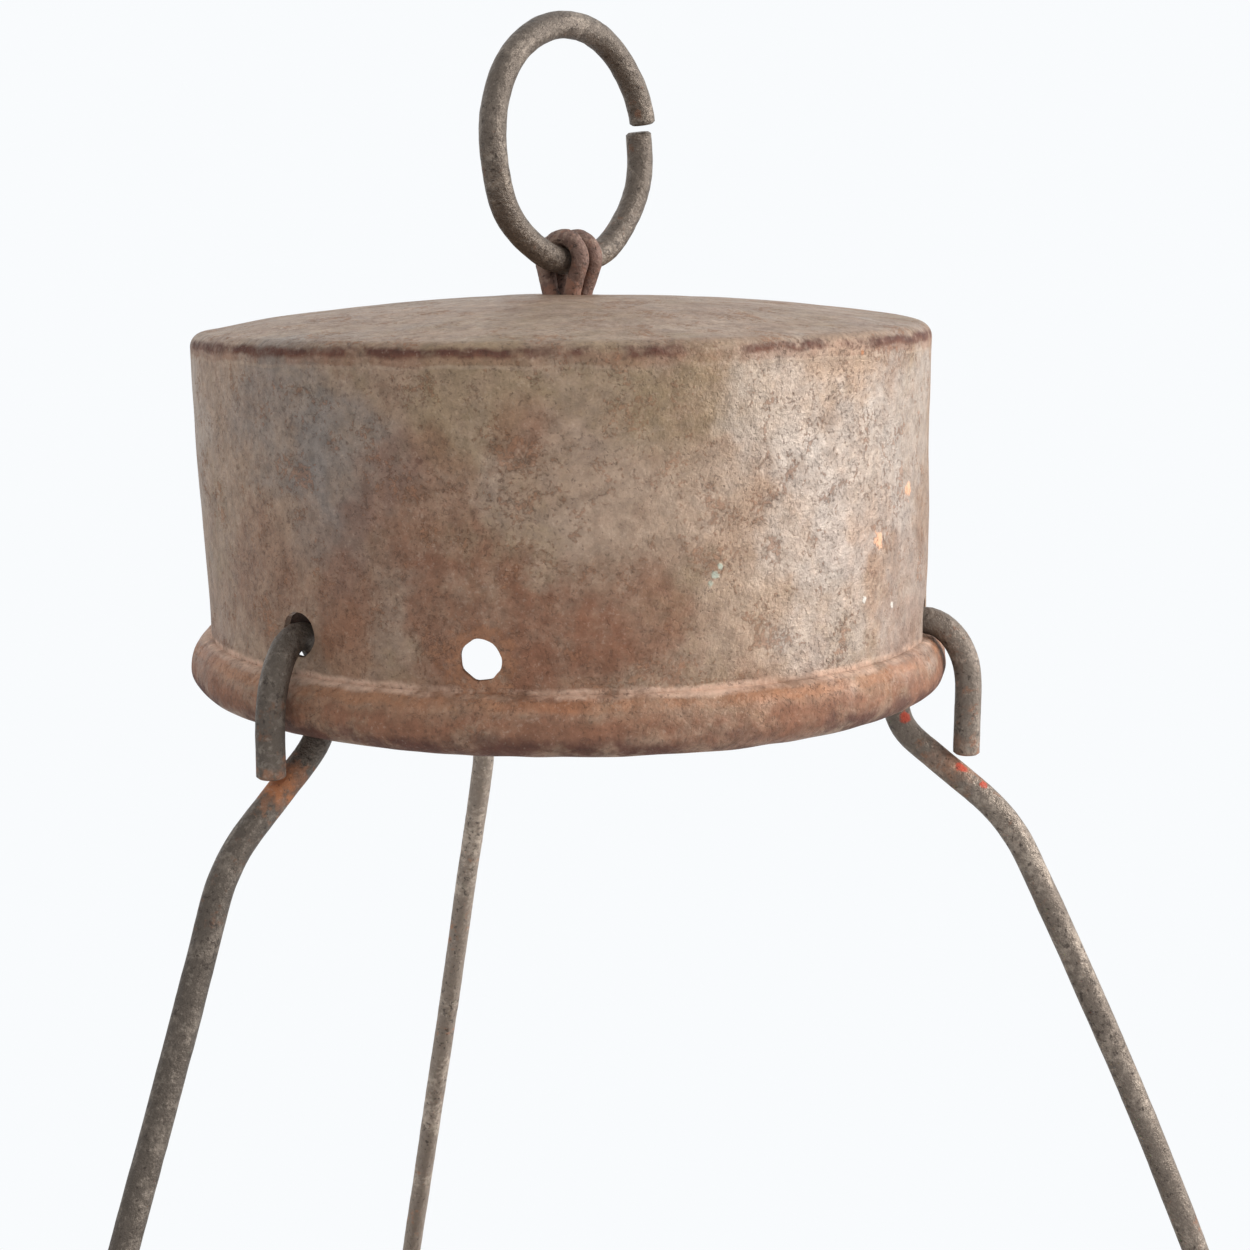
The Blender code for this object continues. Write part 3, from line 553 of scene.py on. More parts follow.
def patinated_steel(name, shift, bands, washes=(), spots=(), rust_from=None, soot=0.0):
    """Aged sheet steel: grey and tan patina, rust that gathers low down and along creases.
    Washes are broad soft stains, and on the cap some are painted sheen and painted rim light; bands are
    ragged level lines, one of them on the cap a painted highlight; spots are chips."""
    made, n, shader = new_material(name)
    own, moved = place_in(n, shift)
    parts = n.add("SeparateXYZ", {0: own}).outputs

    def bloom(offset, scale, cover, edge, breakup):
        place = n.vector("ADD", moved, offset)
        return n.group("Bloom", vector=place, scale=scale, cover=cover, edge=edge, breakup=breakup)[0]

    def lay(colour, mask, strength, tone):
        return n.mix(n.math("MULTIPLY", mask, strength), colour, tone)

    colour = lay(TAN, bloom((0, 0, 0), 34.0, 0.40, 0.12, 0.45), 0.32, BLUE_GREY)
    colour = lay(colour, bloom((0.31, 0.1, 0.2), 52.0, 0.42, 0.12, 0.5), 0.50, OLIVE)
    colour = lay(colour, bloom((0.5, 0.8, 0.1), 70.0, 0.40, 0.09, 0.8), 0.50, PALE_TAN)
    colour = lay(colour, bloom((0.7, 0.4, 0.0), 105.0, 0.42, 0.07, 0.9), 0.50, BROWN)
    # Broad washes: stains, and where a wash has the pale grey sheen colour, partly painted sheen
    for tone, strength, centre, radius in washes:
        stain_and_sheen = n.group("Spot", vector=own, centre=centre, radius=radius, ragged=0.75, scale=95.0)[0]
        veined = n.smooth(n.noise(moved, 330.0, 5.0, 0.7), 0.30, 0.62, 0.45, 1.0)
        colour = lay(colour, n.math("MULTIPLY", stain_and_sheen, veined), strength, tone)
    fine_rust = bloom((0.2, 0.9, 0.5), 210.0, 0.36, 0.05, 1.0)
    if rust_from:
        low, high = rust_from
        foot = n.smooth(parts[2], high, low)
        wash = n.math("MULTIPLY", foot, n.smooth(n.noise(moved, 38.0, 6.0, 0.65), 0.38, 0.60))
        colour = lay(colour, wash, 0.60, RED_BROWN)
    colour = lay(colour, fine_rust, 0.45, RUST)
    rusty = fine_rust
    for i, (tone, strength, height, slope, width, waver) in enumerate(bands):
        line = n.group("Band", vector=own, height=height, slope=slope, width=width, waver=waver,
                       scale=210.0)[0]
        broken = n.noise(n.vector("ADD", moved, (0.17 * i, 0.0, 0.05)), 110.0, 5.0, 0.7)
        broken = n.smooth(broken, 0.38, 0.55, 0.12, 1.0)
        line = n.math("MULTIPLY", line, n.math("MULTIPLY", broken, strength))
        colour = n.mix(line, colour, tone)
        rusty = n.math("MAXIMUM", rusty, line)
    for tone, strength, centre, radius in spots:
        chip = n.group("Spot", vector=own, centre=centre, radius=radius, ragged=0.7, scale=1100.0)[0]
        colour = lay(colour, chip, strength, tone)
        rusty = n.math("MAXIMUM", rusty, chip)
    grain = n.group("Sand grain", vector=moved, scale=2600.0)
    colour = lay(colour, grain["Specks"], 0.16, (0.64, 0.50, 0.40))
    colour = lay(colour, grain["Pits"], 0.36, (0.100, 0.058, 0.042))
    tone_noise = n.smooth(n.noise(moved, 620.0, 4.0, 0.7), 0.25, 0.75, 0.76, 1.20)
    colour = n.mix(1.0, colour, tone_noise, "MULTIPLY")
    if soot:
        inner = n.add("Attribute", attribute_name="inner").outputs["Fac"]
        cloudy = n.smooth(n.noise(moved, 60.0, 5.0, 0.6), 0.2, 0.5, 0.55, 1.0)
        sooty = n.math("MULTIPLY", n.smooth(inner, 0.3, 0.7), cloudy)
        colour = lay(colour, sooty, soot, SOOT)
        rusty = n.math("MAXIMUM", rusty, sooty)
    n.feed(shader["Base Color"], colour)
    rough = n.blend(rusty, 0.47, 0.76)
    uneven = n.math("SUBTRACT", n.noise(moved, 240.0, 4.0), 0.5)
    n.feed(shader["Roughness"], n.math("ADD", rough, n.math("MULTIPLY", uneven, 0.28), True))
    n.feed(shader["Metallic"], n.blend(rusty, 0.34, 0.04))
    pitted = n.math("ADD", grain["Height"], n.math("MULTIPLY", n.noise(moved, 520.0, 5.0, 0.65), 0.9))
    pitted = n.math("ADD", pitted, n.math("MULTIPLY", rusty, 0.35))
    pitted = n.math("SUBTRACT", pitted, n.math("MULTIPLY", grain["Pits"], 0.25))
    shader["Specular IOR Level"].default_value = 0.32
    bump = n.add("Bump", {"Strength": 0.80, "Distance": 0.00026, "Height": pitted})
    n.feed(shader["Normal"], bump.outputs[0])
    return made


def old_wire(name, shift, tones, spots=(), rust=0.3, shine=0.40):
    """Drawn wire gone dark: worn lighter along its length, pitted, with rust in places."""
    made, n, shader = new_material(name)
    own, moved = place_in(n, shift)
    worn = n.group("Bloom", vector=moved, scale=130.0, cover=0.40, edge=0.10, breakup=0.8)[0]
    rusted = n.group("Bloom", vector=n.vector("ADD", moved, (0.4, 0.2, 0.7)), scale=95.0, cover=rust,
                     edge=0.07, breakup=0.9)[0]
    grain = n.group("Sand grain", vector=moved, scale=1900.0)
    dark, light, red = tones
    colour = n.mix(n.math("MULTIPLY", worn, 0.8), dark, light)
    colour = n.mix(n.math("MULTIPLY", rusted, 0.75), colour, red)
    rusty = n.math("MULTIPLY", rusted, 0.8)
    for tone, strength, centre, radius in spots:
        spot = n.group("Spot", vector=own, centre=centre, radius=radius, ragged=0.8, scale=800.0)[0]
        spot = n.math("MULTIPLY", spot, strength)
        colour = n.mix(spot, colour, tone)
        rusty = n.math("MAXIMUM", rusty, spot)
    colour = n.mix(n.math("MULTIPLY", grain["Specks"], 0.22), colour, (0.46, 0.39, 0.32))
    colour = n.mix(n.math("MULTIPLY", grain["Pits"], 0.7), colour, (0.040, 0.028, 0.022))
    n.feed(shader["Base Color"], colour)
    rough = n.math("ADD", n.blend(rusty, shine, 0.72), n.math("MULTIPLY", n.noise(moved, 420.0, 4.0), 0.20))
    n.feed(shader["Roughness"], rough)
    n.feed(shader["Metallic"], n.blend(rusty, 0.55, 0.06))
    pitted = n.math("ADD", grain["Height"], n.math("MULTIPLY", n.noise(moved, 480.0, 5.0, 0.7), 1.6))
    bump = n.add("Bump", {"Strength": 0.75, "Distance": 0.0004, "Height": pitted})
    n.feed(shader["Normal"], bump.outputs[0])
    return made


def clear_glass(name):
    """Blown glass, a little dusty in patches."""
    made, n, shader = new_material(name)
    own, moved = place_in(n, (0.2, 0.5, 0.1))
    dust = n.group("Bloom", vector=moved, scale=40.0, cover=0.40, edge=0.2, breakup=0.9)[0]
    fine = n.noise(moved, 900.0, 4.0, 0.7)
    dust = n.math("MULTIPLY", dust, n.smooth(fine, 0.45, 0.7))
    dusty = n.mix(n.math("MULTIPLY", dust, 0.5), (0.965, 0.985, 0.975), (0.82, 0.80, 0.74))
    n.feed(shader["Base Color"], dusty)
    n.feed(shader["Roughness"], n.blend(dust, 0.015, 0.22))
    shader["Transmission Weight"].default_value = 1.0
    shader["IOR"].default_value = 1.47
    ripple = n.noise(moved, 55.0, 2.0, 0.5)
    bump = n.add("Bump", {"Strength": 0.25, "Distance": 0.0012, "Height": ripple})
    n.feed(shader["Normal"], bump.outputs[0])
    return made


def candle_wax(name, top_z):
    """Ivory wax, warmer and clearer near the flame, with a slight bloom."""
    made, n, shader = new_material(name)
    own, moved = place_in(n, (0.9, 0.2, 0.3))
    parts = n.add("SeparateXYZ", {0: own}).outputs
    heat = n.smooth(parts[2], top_z - 14 * mm, top_z)
    cloud = n.group("Bloom", vector=moved, scale=60.0, cover=0.5, edge=0.25, breakup=0.5)[0]
    colour = n.mix(cloud, (0.80, 0.72, 0.56), (0.87, 0.82, 0.69))
    colour = n.mix(n.math("MULTIPLY", heat, 0.5), colour, (0.90, 0.76, 0.52))
    ash = n.group("Bloom", vector=moved, scale=600.0, cover=0.26, edge=0.03, breakup=0.4)[0]
    colour = n.mix(n.math("MULTIPLY", n.math("MULTIPLY", ash, heat), 0.7), colour, (0.10, 0.08, 0.06))
    n.feed(shader["Base Color"], colour)
    n.feed(shader["Roughness"], n.blend(cloud, 0.34, 0.52))
    shader["Subsurface Weight"].default_value = 0.35
    shader["Subsurface Radius"].default_value = (0.9, 0.5, 0.25)
    shader["Subsurface Scale"].default_value = 0.006
    bump = n.add("Bump", {"Strength": 0.35, "Distance": 0.0004, "Height": n.noise(moved, 300.0, 5.0, 0.6)})
    n.feed(shader["Normal"], bump.outputs[0])
    return made


def charred_string(name, char_z):
    """Cotton string, cream at its foot and burnt black above."""
    made, n, shader = new_material(name)
    own, moved = place_in(n, (0.1, 0.6, 0.4))
    parts = n.add("SeparateXYZ", {0: own}).outputs
    uneven = n.math("MULTIPLY", n.noise(moved, 700.0), 0.002)
    burnt = n.smooth(n.math("ADD", parts[2], uneven), char_z, char_z + 2 * mm)
    colour = n.mix(burnt, (0.62, 0.52, 0.36), (0.022, 0.019, 0.017))
    ash = n.smooth(n.noise(moved, 1500.0, 3.0), 0.58, 0.7)
    colour = n.mix(n.math("MULTIPLY", n.math("MULTIPLY", ash, burnt), 0.6), colour, (0.24, 0.22, 0.20))
    n.feed(shader["Base Color"], colour)
    shader["Roughness"].default_value = 0.92
    bump = n.add("Bump", {"Strength": 0.7, "Distance": 0.0003, "Height": n.noise(moved, 1800.0, 3.0, 0.6)})
    n.feed(shader["Normal"], bump.outputs[0])
    return made


# --- the ring and the tie --------------------------------------------------------------------

RING_ALONG = Vector((math.cos(RING_TURN), math.sin(RING_TURN), 0))
RING_ACROSS = Vector((RING_ALONG.y, -RING_ALONG.x, 0))


def lumpy(amount, scale, seed=0.0):
    """A wire's width as a share of its radius: slow swellings and small pits."""
    def width(point, run, turn):
        slow = noise.noise(point * (scale * 0.25) + Vector((seed, 0, 0)))
        quick = noise.noise(point * scale + Vector((0, seed, 0)))
        return 1.0 + amount * (0.6 * slow + 0.4 * quick)
    return width


def build_ring(finish):
    gap = RING_GAP / RING_MEAN_RADIUS
    steps = 220
    path = []
    for i in range(steps + 1):
        share = i / steps
        angle = RING_GAP_RISE + gap / 2 + (2 * math.pi - gap) * share
        path.append(RING_ALONG * (RING_MEAN_RADIUS * 1.035 * math.cos(angle) + 0.35 * mm)
                    + RING_ACROSS * (0.5 * mm * smooth(share, 0.10, 0.0) - 0.3 * mm * smooth(share, 0.9, 1.0))
                    + Vector((0, 0, RING_CENTRE_Z + RING_MEAN_RADIUS * math.sin(angle))))
    path = hand_bent(path, 0.28 * mm, 9 * mm)
    ring = add_piece("wire_ring", swept("wire_ring", path, WIRE_D / 2, 24, lumpy(0.07, 900.0)), finish)
    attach(ring, "ring")
    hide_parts("hanging_ring")
    return ring


def build_tie(finish):
    over = WIRE_D / 2 + 0.25 * mm + TIE_D / 2
    reach = TIE_NECK + TIE_TAIL
    tail_z = CAP_APEX_Z - CAP_DOME_RISE * (reach / CAP_RADIUS) ** 2 - SHEET - 0.4 * mm - TIE_D / 2
    turn_z = tail_z - 0.6 * mm
    half = TIE_PITCH / 2

    def tail_and_leg(sign):
        leg = rounded([(reach, tail_z), (TIE_NECK, tail_z), (TIE_NECK, CAP_APEX_Z)], [2.0 * mm])
        return [(sign * p.x, p.y) for p in leg]

    turn = [(p.x, p.y) for p in arc((0, RING_FOOT_Z), (over, over), 180, 0, 10)]
    span = math.hypot(TIE_NECK, half)
    points = [(a, -half, z) for a, z in tail_and_leg(-1) + turn] + [(TIE_NECK, -half, CAP_APEX_Z)]
    for p in arc((0, turn_z), (span, span), 0, -180, 10):
        points.append((p.x / span * TIE_NECK, -p.x / span * half, p.y))
    points += [(-TIE_NECK, half, CAP_APEX_Z)]
    points += [(a, half, z) for a, z in turn + tail_and_leg(1)[::-1]]
    path = [RING_ACROSS * a + RING_ALONG * t + Vector((0, 0, z)) for a, t, z in points]
    path = hand_bent(eased(even(path, 0.35 * mm), 3), 0.26 * mm, 3.2 * mm)
    mesh = swept("tie_turns", path, TIE_D / 2 * 1.04, 18, lumpy(0.16, 1500.0, 3.0))
    tie = add_piece("tie_turns", mesh, finish)
    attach(tie, "tie")
    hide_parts("tie_wire")
    return tie


# --- the smoke cap ---------------------------------------------------------------------------

CAP_HOLES = [(math.radians(spec["cap"]), CAP_HOLE_Z + spec["hole_lift"], 1.06)
             for spec in HANGERS.values()] + [(math.radians(SPARE_HOLE_AZIMUTH), CAP_HOLE_Z, 0.93)]


def cap_form(point, azimuth):
    """Where the cap's sheet has gone in use: a top askew, a leaning side, soft dents."""
    height = smooth(point.z, CAP_CREASE_Z, CAP_EDGE_Z)
    out = Vector((point.x, point.y, 0)).normalized()
    radius = math.hypot(point.x, point.y)
    on_wall = smooth(radius, CAP_RADIUS * 0.80, CAP_RADIUS * 0.97)
    moved = point.copy()
    moved.z += point.x * CAP_TILT * height
    lean = CAP_LEAN_LEFT * max(0.0, -out.x) ** 2 - 0.3 * mm * max(0.0, out.x) ** 2
    moved += out * (lean * smooth(point.z, CAP_CREASE_Z - 3 * mm, CAP_EDGE_Z) * min(1.0, radius / CAP_RADIUS))
    off = (math.degrees(azimuth) - 134) / 36
    moved.z += CAP_REAR_BULGE * math.exp(-off * off) * smooth(radius, CAP_RADIUS * 0.4, CAP_RADIUS) * height
    slow = noise.noise(point * 38.0)
    soft = noise.noise(point * 95.0 + Vector((4, 0, 0)))
    quick = noise.noise(point * 260.0 + Vector((0, 7, 0)))
    below = smooth(point.z, CAP_EDGE_Z, CAP_EDGE_Z - 6 * mm)
    moved += out * on_wall * ((0.30 * slow + 0.18 * soft) * below + 0.045 * quick) * mm
    moved.z += (1 - on_wall) * (0.35 * slow + 0.18 * soft + 0.035 * quick) * mm
    low = smooth(point.z, CAP_CREASE_Z + 1 * mm, CAP_CREASE_Z - 4 * mm)
    moved += out * low * (0.16 * soft + 0.10 * quick) * mm + Vector((0, 0, low * 0.14 * (soft + quick) * mm))
    for hole_azimuth, hole_z, _ in CAP_HOLES:
        away = (point - around(CAP_RADIUS, hole_azimuth, hole_z)).length
        moved -= out * 0.42 * mm * math.exp(-(away / (3.6 * mm)) ** 2)
    return moved


def build_cap(finish):
    dome_radius = CAP_RADIUS - CAP_EDGE_ROUND
    steps = 46
    line = []
    for i in range(steps + 1):
        r = TIE_HOLE_RADIUS + (dome_radius - TIE_HOLE_RADIUS) * i / steps
        line.append(Vector((r, CAP_APEX_Z - CAP_DOME_RISE * (r / CAP_RADIUS) ** 2)))
    shoulder_z = line[-1].y - CAP_EDGE_ROUND
    line += arc((dome_radius, shoulder_z), (CAP_EDGE_ROUND, CAP_EDGE_ROUND), 78, 0, 9)
    line += straight((CAP_RADIUS, shoulder_z), (CAP_RADIUS, CAP_CREASE_Z), 1.0 * mm)[1:]
    line += bead(CAP_RADIUS, CAP_LIP_Z, -1)
    mesh = lathe("drawn_cap", sheet_outline(line, SHEET), 300, cap_form)
    punches = [punch(a, z, CAP_RADIUS, HOOK_HOLE_RADIUS * share, 0.07) for a, z, share in CAP_HOLES]
    cap = add_piece("drawn_cap", cut(mesh, punches), finish)
    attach(cap, "cap")
    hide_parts("smoke_cap")
    return cap


# --- the hangers -----------------------------------------------------------------------------


def hook(wall_radius, hole_z, outside_clear, fall, up):
    """A hook over a rim: radii of its two legs, and its bend from the outer to the inner one."""
    wall = wall_radius - SHEET / 2
    inside = wall_radius - LIP_INSET - HOOK_INSIDE_CLEAR - WIRE_D / 2
    outside = wall_radius + BEAD_PROUD + outside_clear + WIRE_D / 2
    bend = arc((wall, hole_z - up * fall), (outside - wall, up * fall), 0, 90)
    bend += arc((wall, hole_z - up * HOOK_INNER_FALL), (wall - inside, up * HOOK_INNER_FALL), 90, 180)[1:]
    return inside, outside, bend


def end_height(outside, corner, knee, up):
    """Height where the hook's end meets its own wire, on the straight from corner to knee."""
    slope = Vector((knee[0] - corner[0], knee[1] - corner[1]))
    near = outside - WIRE_D / 2
    meets = corner[1] + slope.y * (near - corner[0]) / slope.x
    return meets + up * (WIRE_D / 2 + TOUCH * 0.5) * slope.length / abs(slope.x)


def hanger_path(spec):
    inside, outside, bend = hook(CAP_RADIUS, CAP_HOLE_Z + spec["hole_lift"], spec["outside"], spec["fall"], 1)
    corner = (inside, CAP_LIP_Z - spec["loop_drop"])
    knee = (CAP_RADIUS + spec["knee"][0], CAP_LIP_Z - spec["knee"][1])
    bow_start = Vector(knee) + Vector((spec["flare"], -1)).normalized() * KNEE_REACH
    top = [Vector((outside, end_height(outside, corner, knee, 1)))] + bend
    hook_end = len(top)
    top += rounded([bend[-1], corner, knee, bow_start], [LOOP_BEND, spec["bend"]])[1:]

    inside, outside, bend = hook(PAN_RADIUS, PAN_HOLE_Z, HOOK_OUTSIDE_CLEAR, PAN_HOOK_FALL, -1)
    corner = (inside, PAN_LIP_Z + PAN_LOOP_RISE)
    knee = (PAN_RADIUS + PAN_KNEE[0], PAN_LIP_Z + PAN_KNEE[1])
    bow_end = Vector(knee) - Vector((PAN_FLARE, -1)).normalized() * KNEE_REACH
    foot = rounded([bow_end, knee, corner, bend[-1]], [PAN_KNEE_BEND, LOOP_BEND])[:-1] + bend[::-1]
    foot += [Vector((outside, end_height(outside, corner, knee, -1)))]

    third = (bow_start.y - bow_end.y) / 3
    bow = bezier(bow_start, bow_start + Vector((spec["flare"], -1)) * third,
                 bow_end - Vector((PAN_FLARE, -1)) * third, bow_end, 60)[1:-1]
    azimuths = [spec["cap"]] * len(top)
    twist = (spec["pan"] - spec["cap"]) / (len(bow) + 1)
    azimuths += [spec["cap"] + twist * (i + 1) for i in range(len(bow))]
    azimuths += [spec["pan"]] * len(foot)
    path = [around(p.x, math.radians(a), p.y) for p, a in zip(top + bow + foot, azimuths)]
    sideways = around(1, math.radians(spec["cap"] + 90), 0)
    for i in range(hook_end):
        share = smooth(top[i].x, CAP_RADIUS - 1 * mm, CAP_RADIUS + 5 * mm)
        path[i] += sideways * (spec["lean"] * share)
    for i in range(hook_end, len(top)):
        below = smooth(top[i].y, CAP_LIP_Z + 4 * mm, CAP_LIP_Z - 1 * mm)
        under = smooth(top[i].x, CAP_RADIUS + 8 * mm, CAP_RADIUS + 1 * mm)
        path[i] += sideways * (spec["loop_lean"] * below * under)
    return path


def hook_touch(spec):
    """The place where the end of the upper hook meets its own wire."""
    inside, outside, _ = hook(CAP_RADIUS, CAP_HOLE_Z + spec["hole_lift"], spec["outside"], spec["fall"], 1)
    corner = (inside, CAP_LIP_Z - spec["loop_drop"])
    knee = (CAP_RADIUS + spec["knee"][0], CAP_LIP_Z - spec["knee"][1])
    z = end_height(outside, corner, knee, 1)
    return around(outside - WIRE_D * 0.45, math.radians(spec["cap"]), z - WIRE_D * 0.3)


def build_hanger(node, spec, finish, seed):
    path = eased(even(hanger_path(spec), 0.8 * mm), 3)
    path = hand_bent(path, 0.12 * mm, 24 * mm)
    mesh = swept(node + "_wire", path, WIRE_D / 2, 22, lumpy(0.05, 700.0, seed))
    wire = add_piece(node + "_wire", mesh, finish)
    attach(wire, node.split("_")[1] + "_hanger")
    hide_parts(node)
    return wire


# --- the pan and what is fastened to it ------------------------------------------------------


def pan_form(point, azimuth):
    out = Vector((point.x, point.y, 0)).normalized()
    slow = noise.noise(point * 22.0 + Vector((9, 3, 0)))
    soft = noise.noise(point * 60.0)
    quick = noise.noise(point * 240.0)
    wall = smooth(math.hypot(point.x, point.y), PAN_RADIUS * 0.86, PAN_RADIUS * 0.98)
    moved = point + out * wall * (0.42 * slow + 0.2 * soft + 0.03 * quick) * mm
    moved.z += (1 - wall) * (0.10 * slow + 0.05 * soft + 0.02 * quick) * mm
    for spec in HANGERS.values():
        away = (point - around(PAN_RADIUS, math.radians(spec["pan"]), PAN_HOLE_Z)).length
        moved -= out * 0.4 * mm * math.exp(-(away / (3.6 * mm)) ** 2)
    return moved


def build_pan(finish):
    raised = PAN_BASE_Z + PAN_CENTRE_RISE
    step_end = PAN_CENTRE_RADIUS + PAN_STEP_WIDTH
    line = straight((1.9 * mm, raised), (PAN_CENTRE_RADIUS - 1.5 * mm, raised), 3.0 * mm)
    line += bezier(Vector((PAN_CENTRE_RADIUS - 1.5 * mm, raised)),
                   Vector((PAN_CENTRE_RADIUS + 1 * mm, raised)),
                   Vector((step_end - 1 * mm, PAN_BASE_Z)),
                   Vector((step_end + 1.5 * mm, PAN_BASE_Z)), 12)
    line += straight((step_end + 1.5 * mm, PAN_BASE_Z), (PAN_RADIUS - PAN_CORNER, PAN_BASE_Z), 2.5 * mm)[1:]
    line += arc((PAN_RADIUS - PAN_CORNER, PAN_BASE_Z + PAN_CORNER), (PAN_CORNER, PAN_CORNER), -90, 0, 6)
    crease_z = PAN_LIP_Z - BEAD_UPPER - BEAD_LOWER
    line += straight(line[-1], (PAN_RADIUS, crease_z), 1.2 * mm)[1:]
    line += bead(PAN_RADIUS, PAN_LIP_Z, 1)
    mesh = lathe("drawn_pan", sheet_outline(line[::-1], SHEET), 320, pan_form)
    punches = [punch(math.radians(spec["pan"]), PAN_HOLE_Z, PAN_RADIUS, HOOK_HOLE_RADIUS, 0.07)
               for spec in HANGERS.values()]
    pan = add_piece("drawn_pan", cut(mesh, punches), finish)
    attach(pan, "pan")
    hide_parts("base_pan")
    return pan


def build_gallery(finish):
    wall = gallery_high.x - GALLERY_FLANGE
    ledge = wall - SHEET - TOUCH - SHEET
    hem = (wall - ledge) / 2
    hem_z = gallery_high.z - hem
    ledge_z = hem_z - GALLERY_LIP
    flange_top = FLANGE_Z + SHEET
    line = straight((ledge - LEDGE_WIDTH, ledge_z), (ledge - 1.2 * mm, ledge_z), 1.2 * mm)
    line += arc((ledge - 1.2 * mm, ledge_z + 1.2 * mm), (1.2 * mm, 1.2 * mm), -90, 0, 15)
    line += arc((ledge + hem, hem_z), (hem, hem), 180, 0, 10)
    line += straight((wall, hem_z), (wall, flange_top + 1.5 * mm), 1.0 * mm)[1:]
    line += arc((wall + 1.5 * mm, flange_top + 1.5 * mm), (1.5 * mm, 1.5 * mm), 180, 270, 15)
    line += straight((wall + 1.5 * mm, flange_top), (wall + GALLERY_FLANGE, flange_top), 1.2 * mm)[1:]
    line += [Vector((wall + GALLERY_FLANGE, flange_top))]

    def form(point, azimuth):
        wave = noise.noise(point * 45.0)
        out = Vector((point.x, point.y, 0)).normalized()
        return point + Vector((0, 0, 0.08 * wave * mm)) + out * 0.12 * wave * mm

    mesh = lathe("gallery_ring", sheet_outline(line, SHEET), 288, form)
    hole_z = (flange_top + ledge_z - SHEET) / 2
    punches = [punch(2 * math.pi * i / AIR_HOLES, hole_z, wall, AIR_HOLE_RADIUS, 0.05, 3 * mm, 28)
               for i in range(AIR_HOLES)]
    gallery = add_piece("gallery_ring", cut(mesh, punches), finish)
    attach(gallery, "pan")
    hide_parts("globe_gallery")
    return gallery


def build_rivet(node, finish):
    low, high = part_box(node)
    centre = (low + high) / 2
    head = (high.x - low.x) / 2
    upper = high.z - RIVET_HEAD_H
    lower = low.z + RIVET_HEAD_H - 0.2 * mm
    outline = arc((0, upper), (head, RIVET_HEAD_H), 90, 0, 9)
    outline += [Vector((head * 0.55, upper)), Vector((head * 0.55, lower))]
    outline += arc((0, lower), (head - 0.2 * mm, RIVET_HEAD_H - 0.2 * mm), 0, -90, 9)
    outline = [(max(0.0, p.x) if 0 < i < len(outline) - 1 else 0.0, p.y, 0.0) for i, p in enumerate(outline)]

    def form(point, azimuth):
        hammered = noise.noise(point * 650.0 + centre * 300)
        share = 1 if point.z > upper else 0.4
        return point + Vector((centre.x, centre.y, 0.16 * hammered * mm * share))

    rivet = add_piece(node + "_head", lathe(node + "_head", outline, 40, form), finish)
    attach(rivet, "pan")
    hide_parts(node)
    return rivet


def build_socket(finish):
    radius = socket_high.x
    corner = 2.0 * mm
    line = straight((1.9 * mm, socket_low.z), (radius - corner, socket_low.z), 1.5 * mm)
    line += arc((radius - corner, socket_low.z + corner), (corner, corner), -90, 0, 10)
    line += straight(line[-1], (radius, socket_high.z), 1.0 * mm)[1:]
    line += [Vector((radius, socket_high.z))]

    def form(point, azimuth):
        out = Vector((point.x, point.y, 0)).normalized()
        return point + out * 0.12 * mm * noise.noise(point * 90.0)

    socket = add_piece("socket_cup", lathe("socket_cup", sheet_outline(line[::-1], SHEET), 144, form), finish)
    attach(socket, "pan")
    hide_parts("candle_socket")
    return socket


# --- the globe, the candle and the wick ------------------------------------------------------


def build_globe(finish):
    foot_radius = 41.0 * mm
    mouth_radius = 37.0 * mm
    height = globe_high.z - globe_low.z
    foot = Vector((foot_radius, globe_low.z))
    mouth = Vector((mouth_radius, globe_high.z))
    belly = Vector((globe_high.x, globe_low.z + height * 0.42))
    neck = Vector((0, height * 0.07))
    rise = (belly - foot - neck).y
    shoulder = Vector((0, height * 0.30))
    lower = bezier(foot + neck, foot + neck + Vector((0, rise * 0.3)),
                   belly - Vector((0, rise * 0.6)), belly, 30)
    upper = bezier(belly, belly + shoulder, mouth - shoulder, mouth - neck, 36)
    outer = [foot] + lower + upper[1:] + [mouth]
    outline = sheet_outline(outer[::-1], GLASS)

    def form(point, azimuth):
        out = Vector((point.x, point.y, 0)).normalized()
        free = smooth(point.z, globe_low.z, globe_low.z + 12 * mm)
        return point + out * 0.30 * mm * noise.noise(point * 30.0) * free

    globe = add_piece("blown_globe", lathe("blown_globe", outline, 160, form), finish, 60)
    soften = globe.modifiers.new("fire polished edges", "SUBSURF")
    soften.levels = 1
    soften.render_levels = 1
    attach(globe, "globe")
    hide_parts("glass_globe")
    return globe


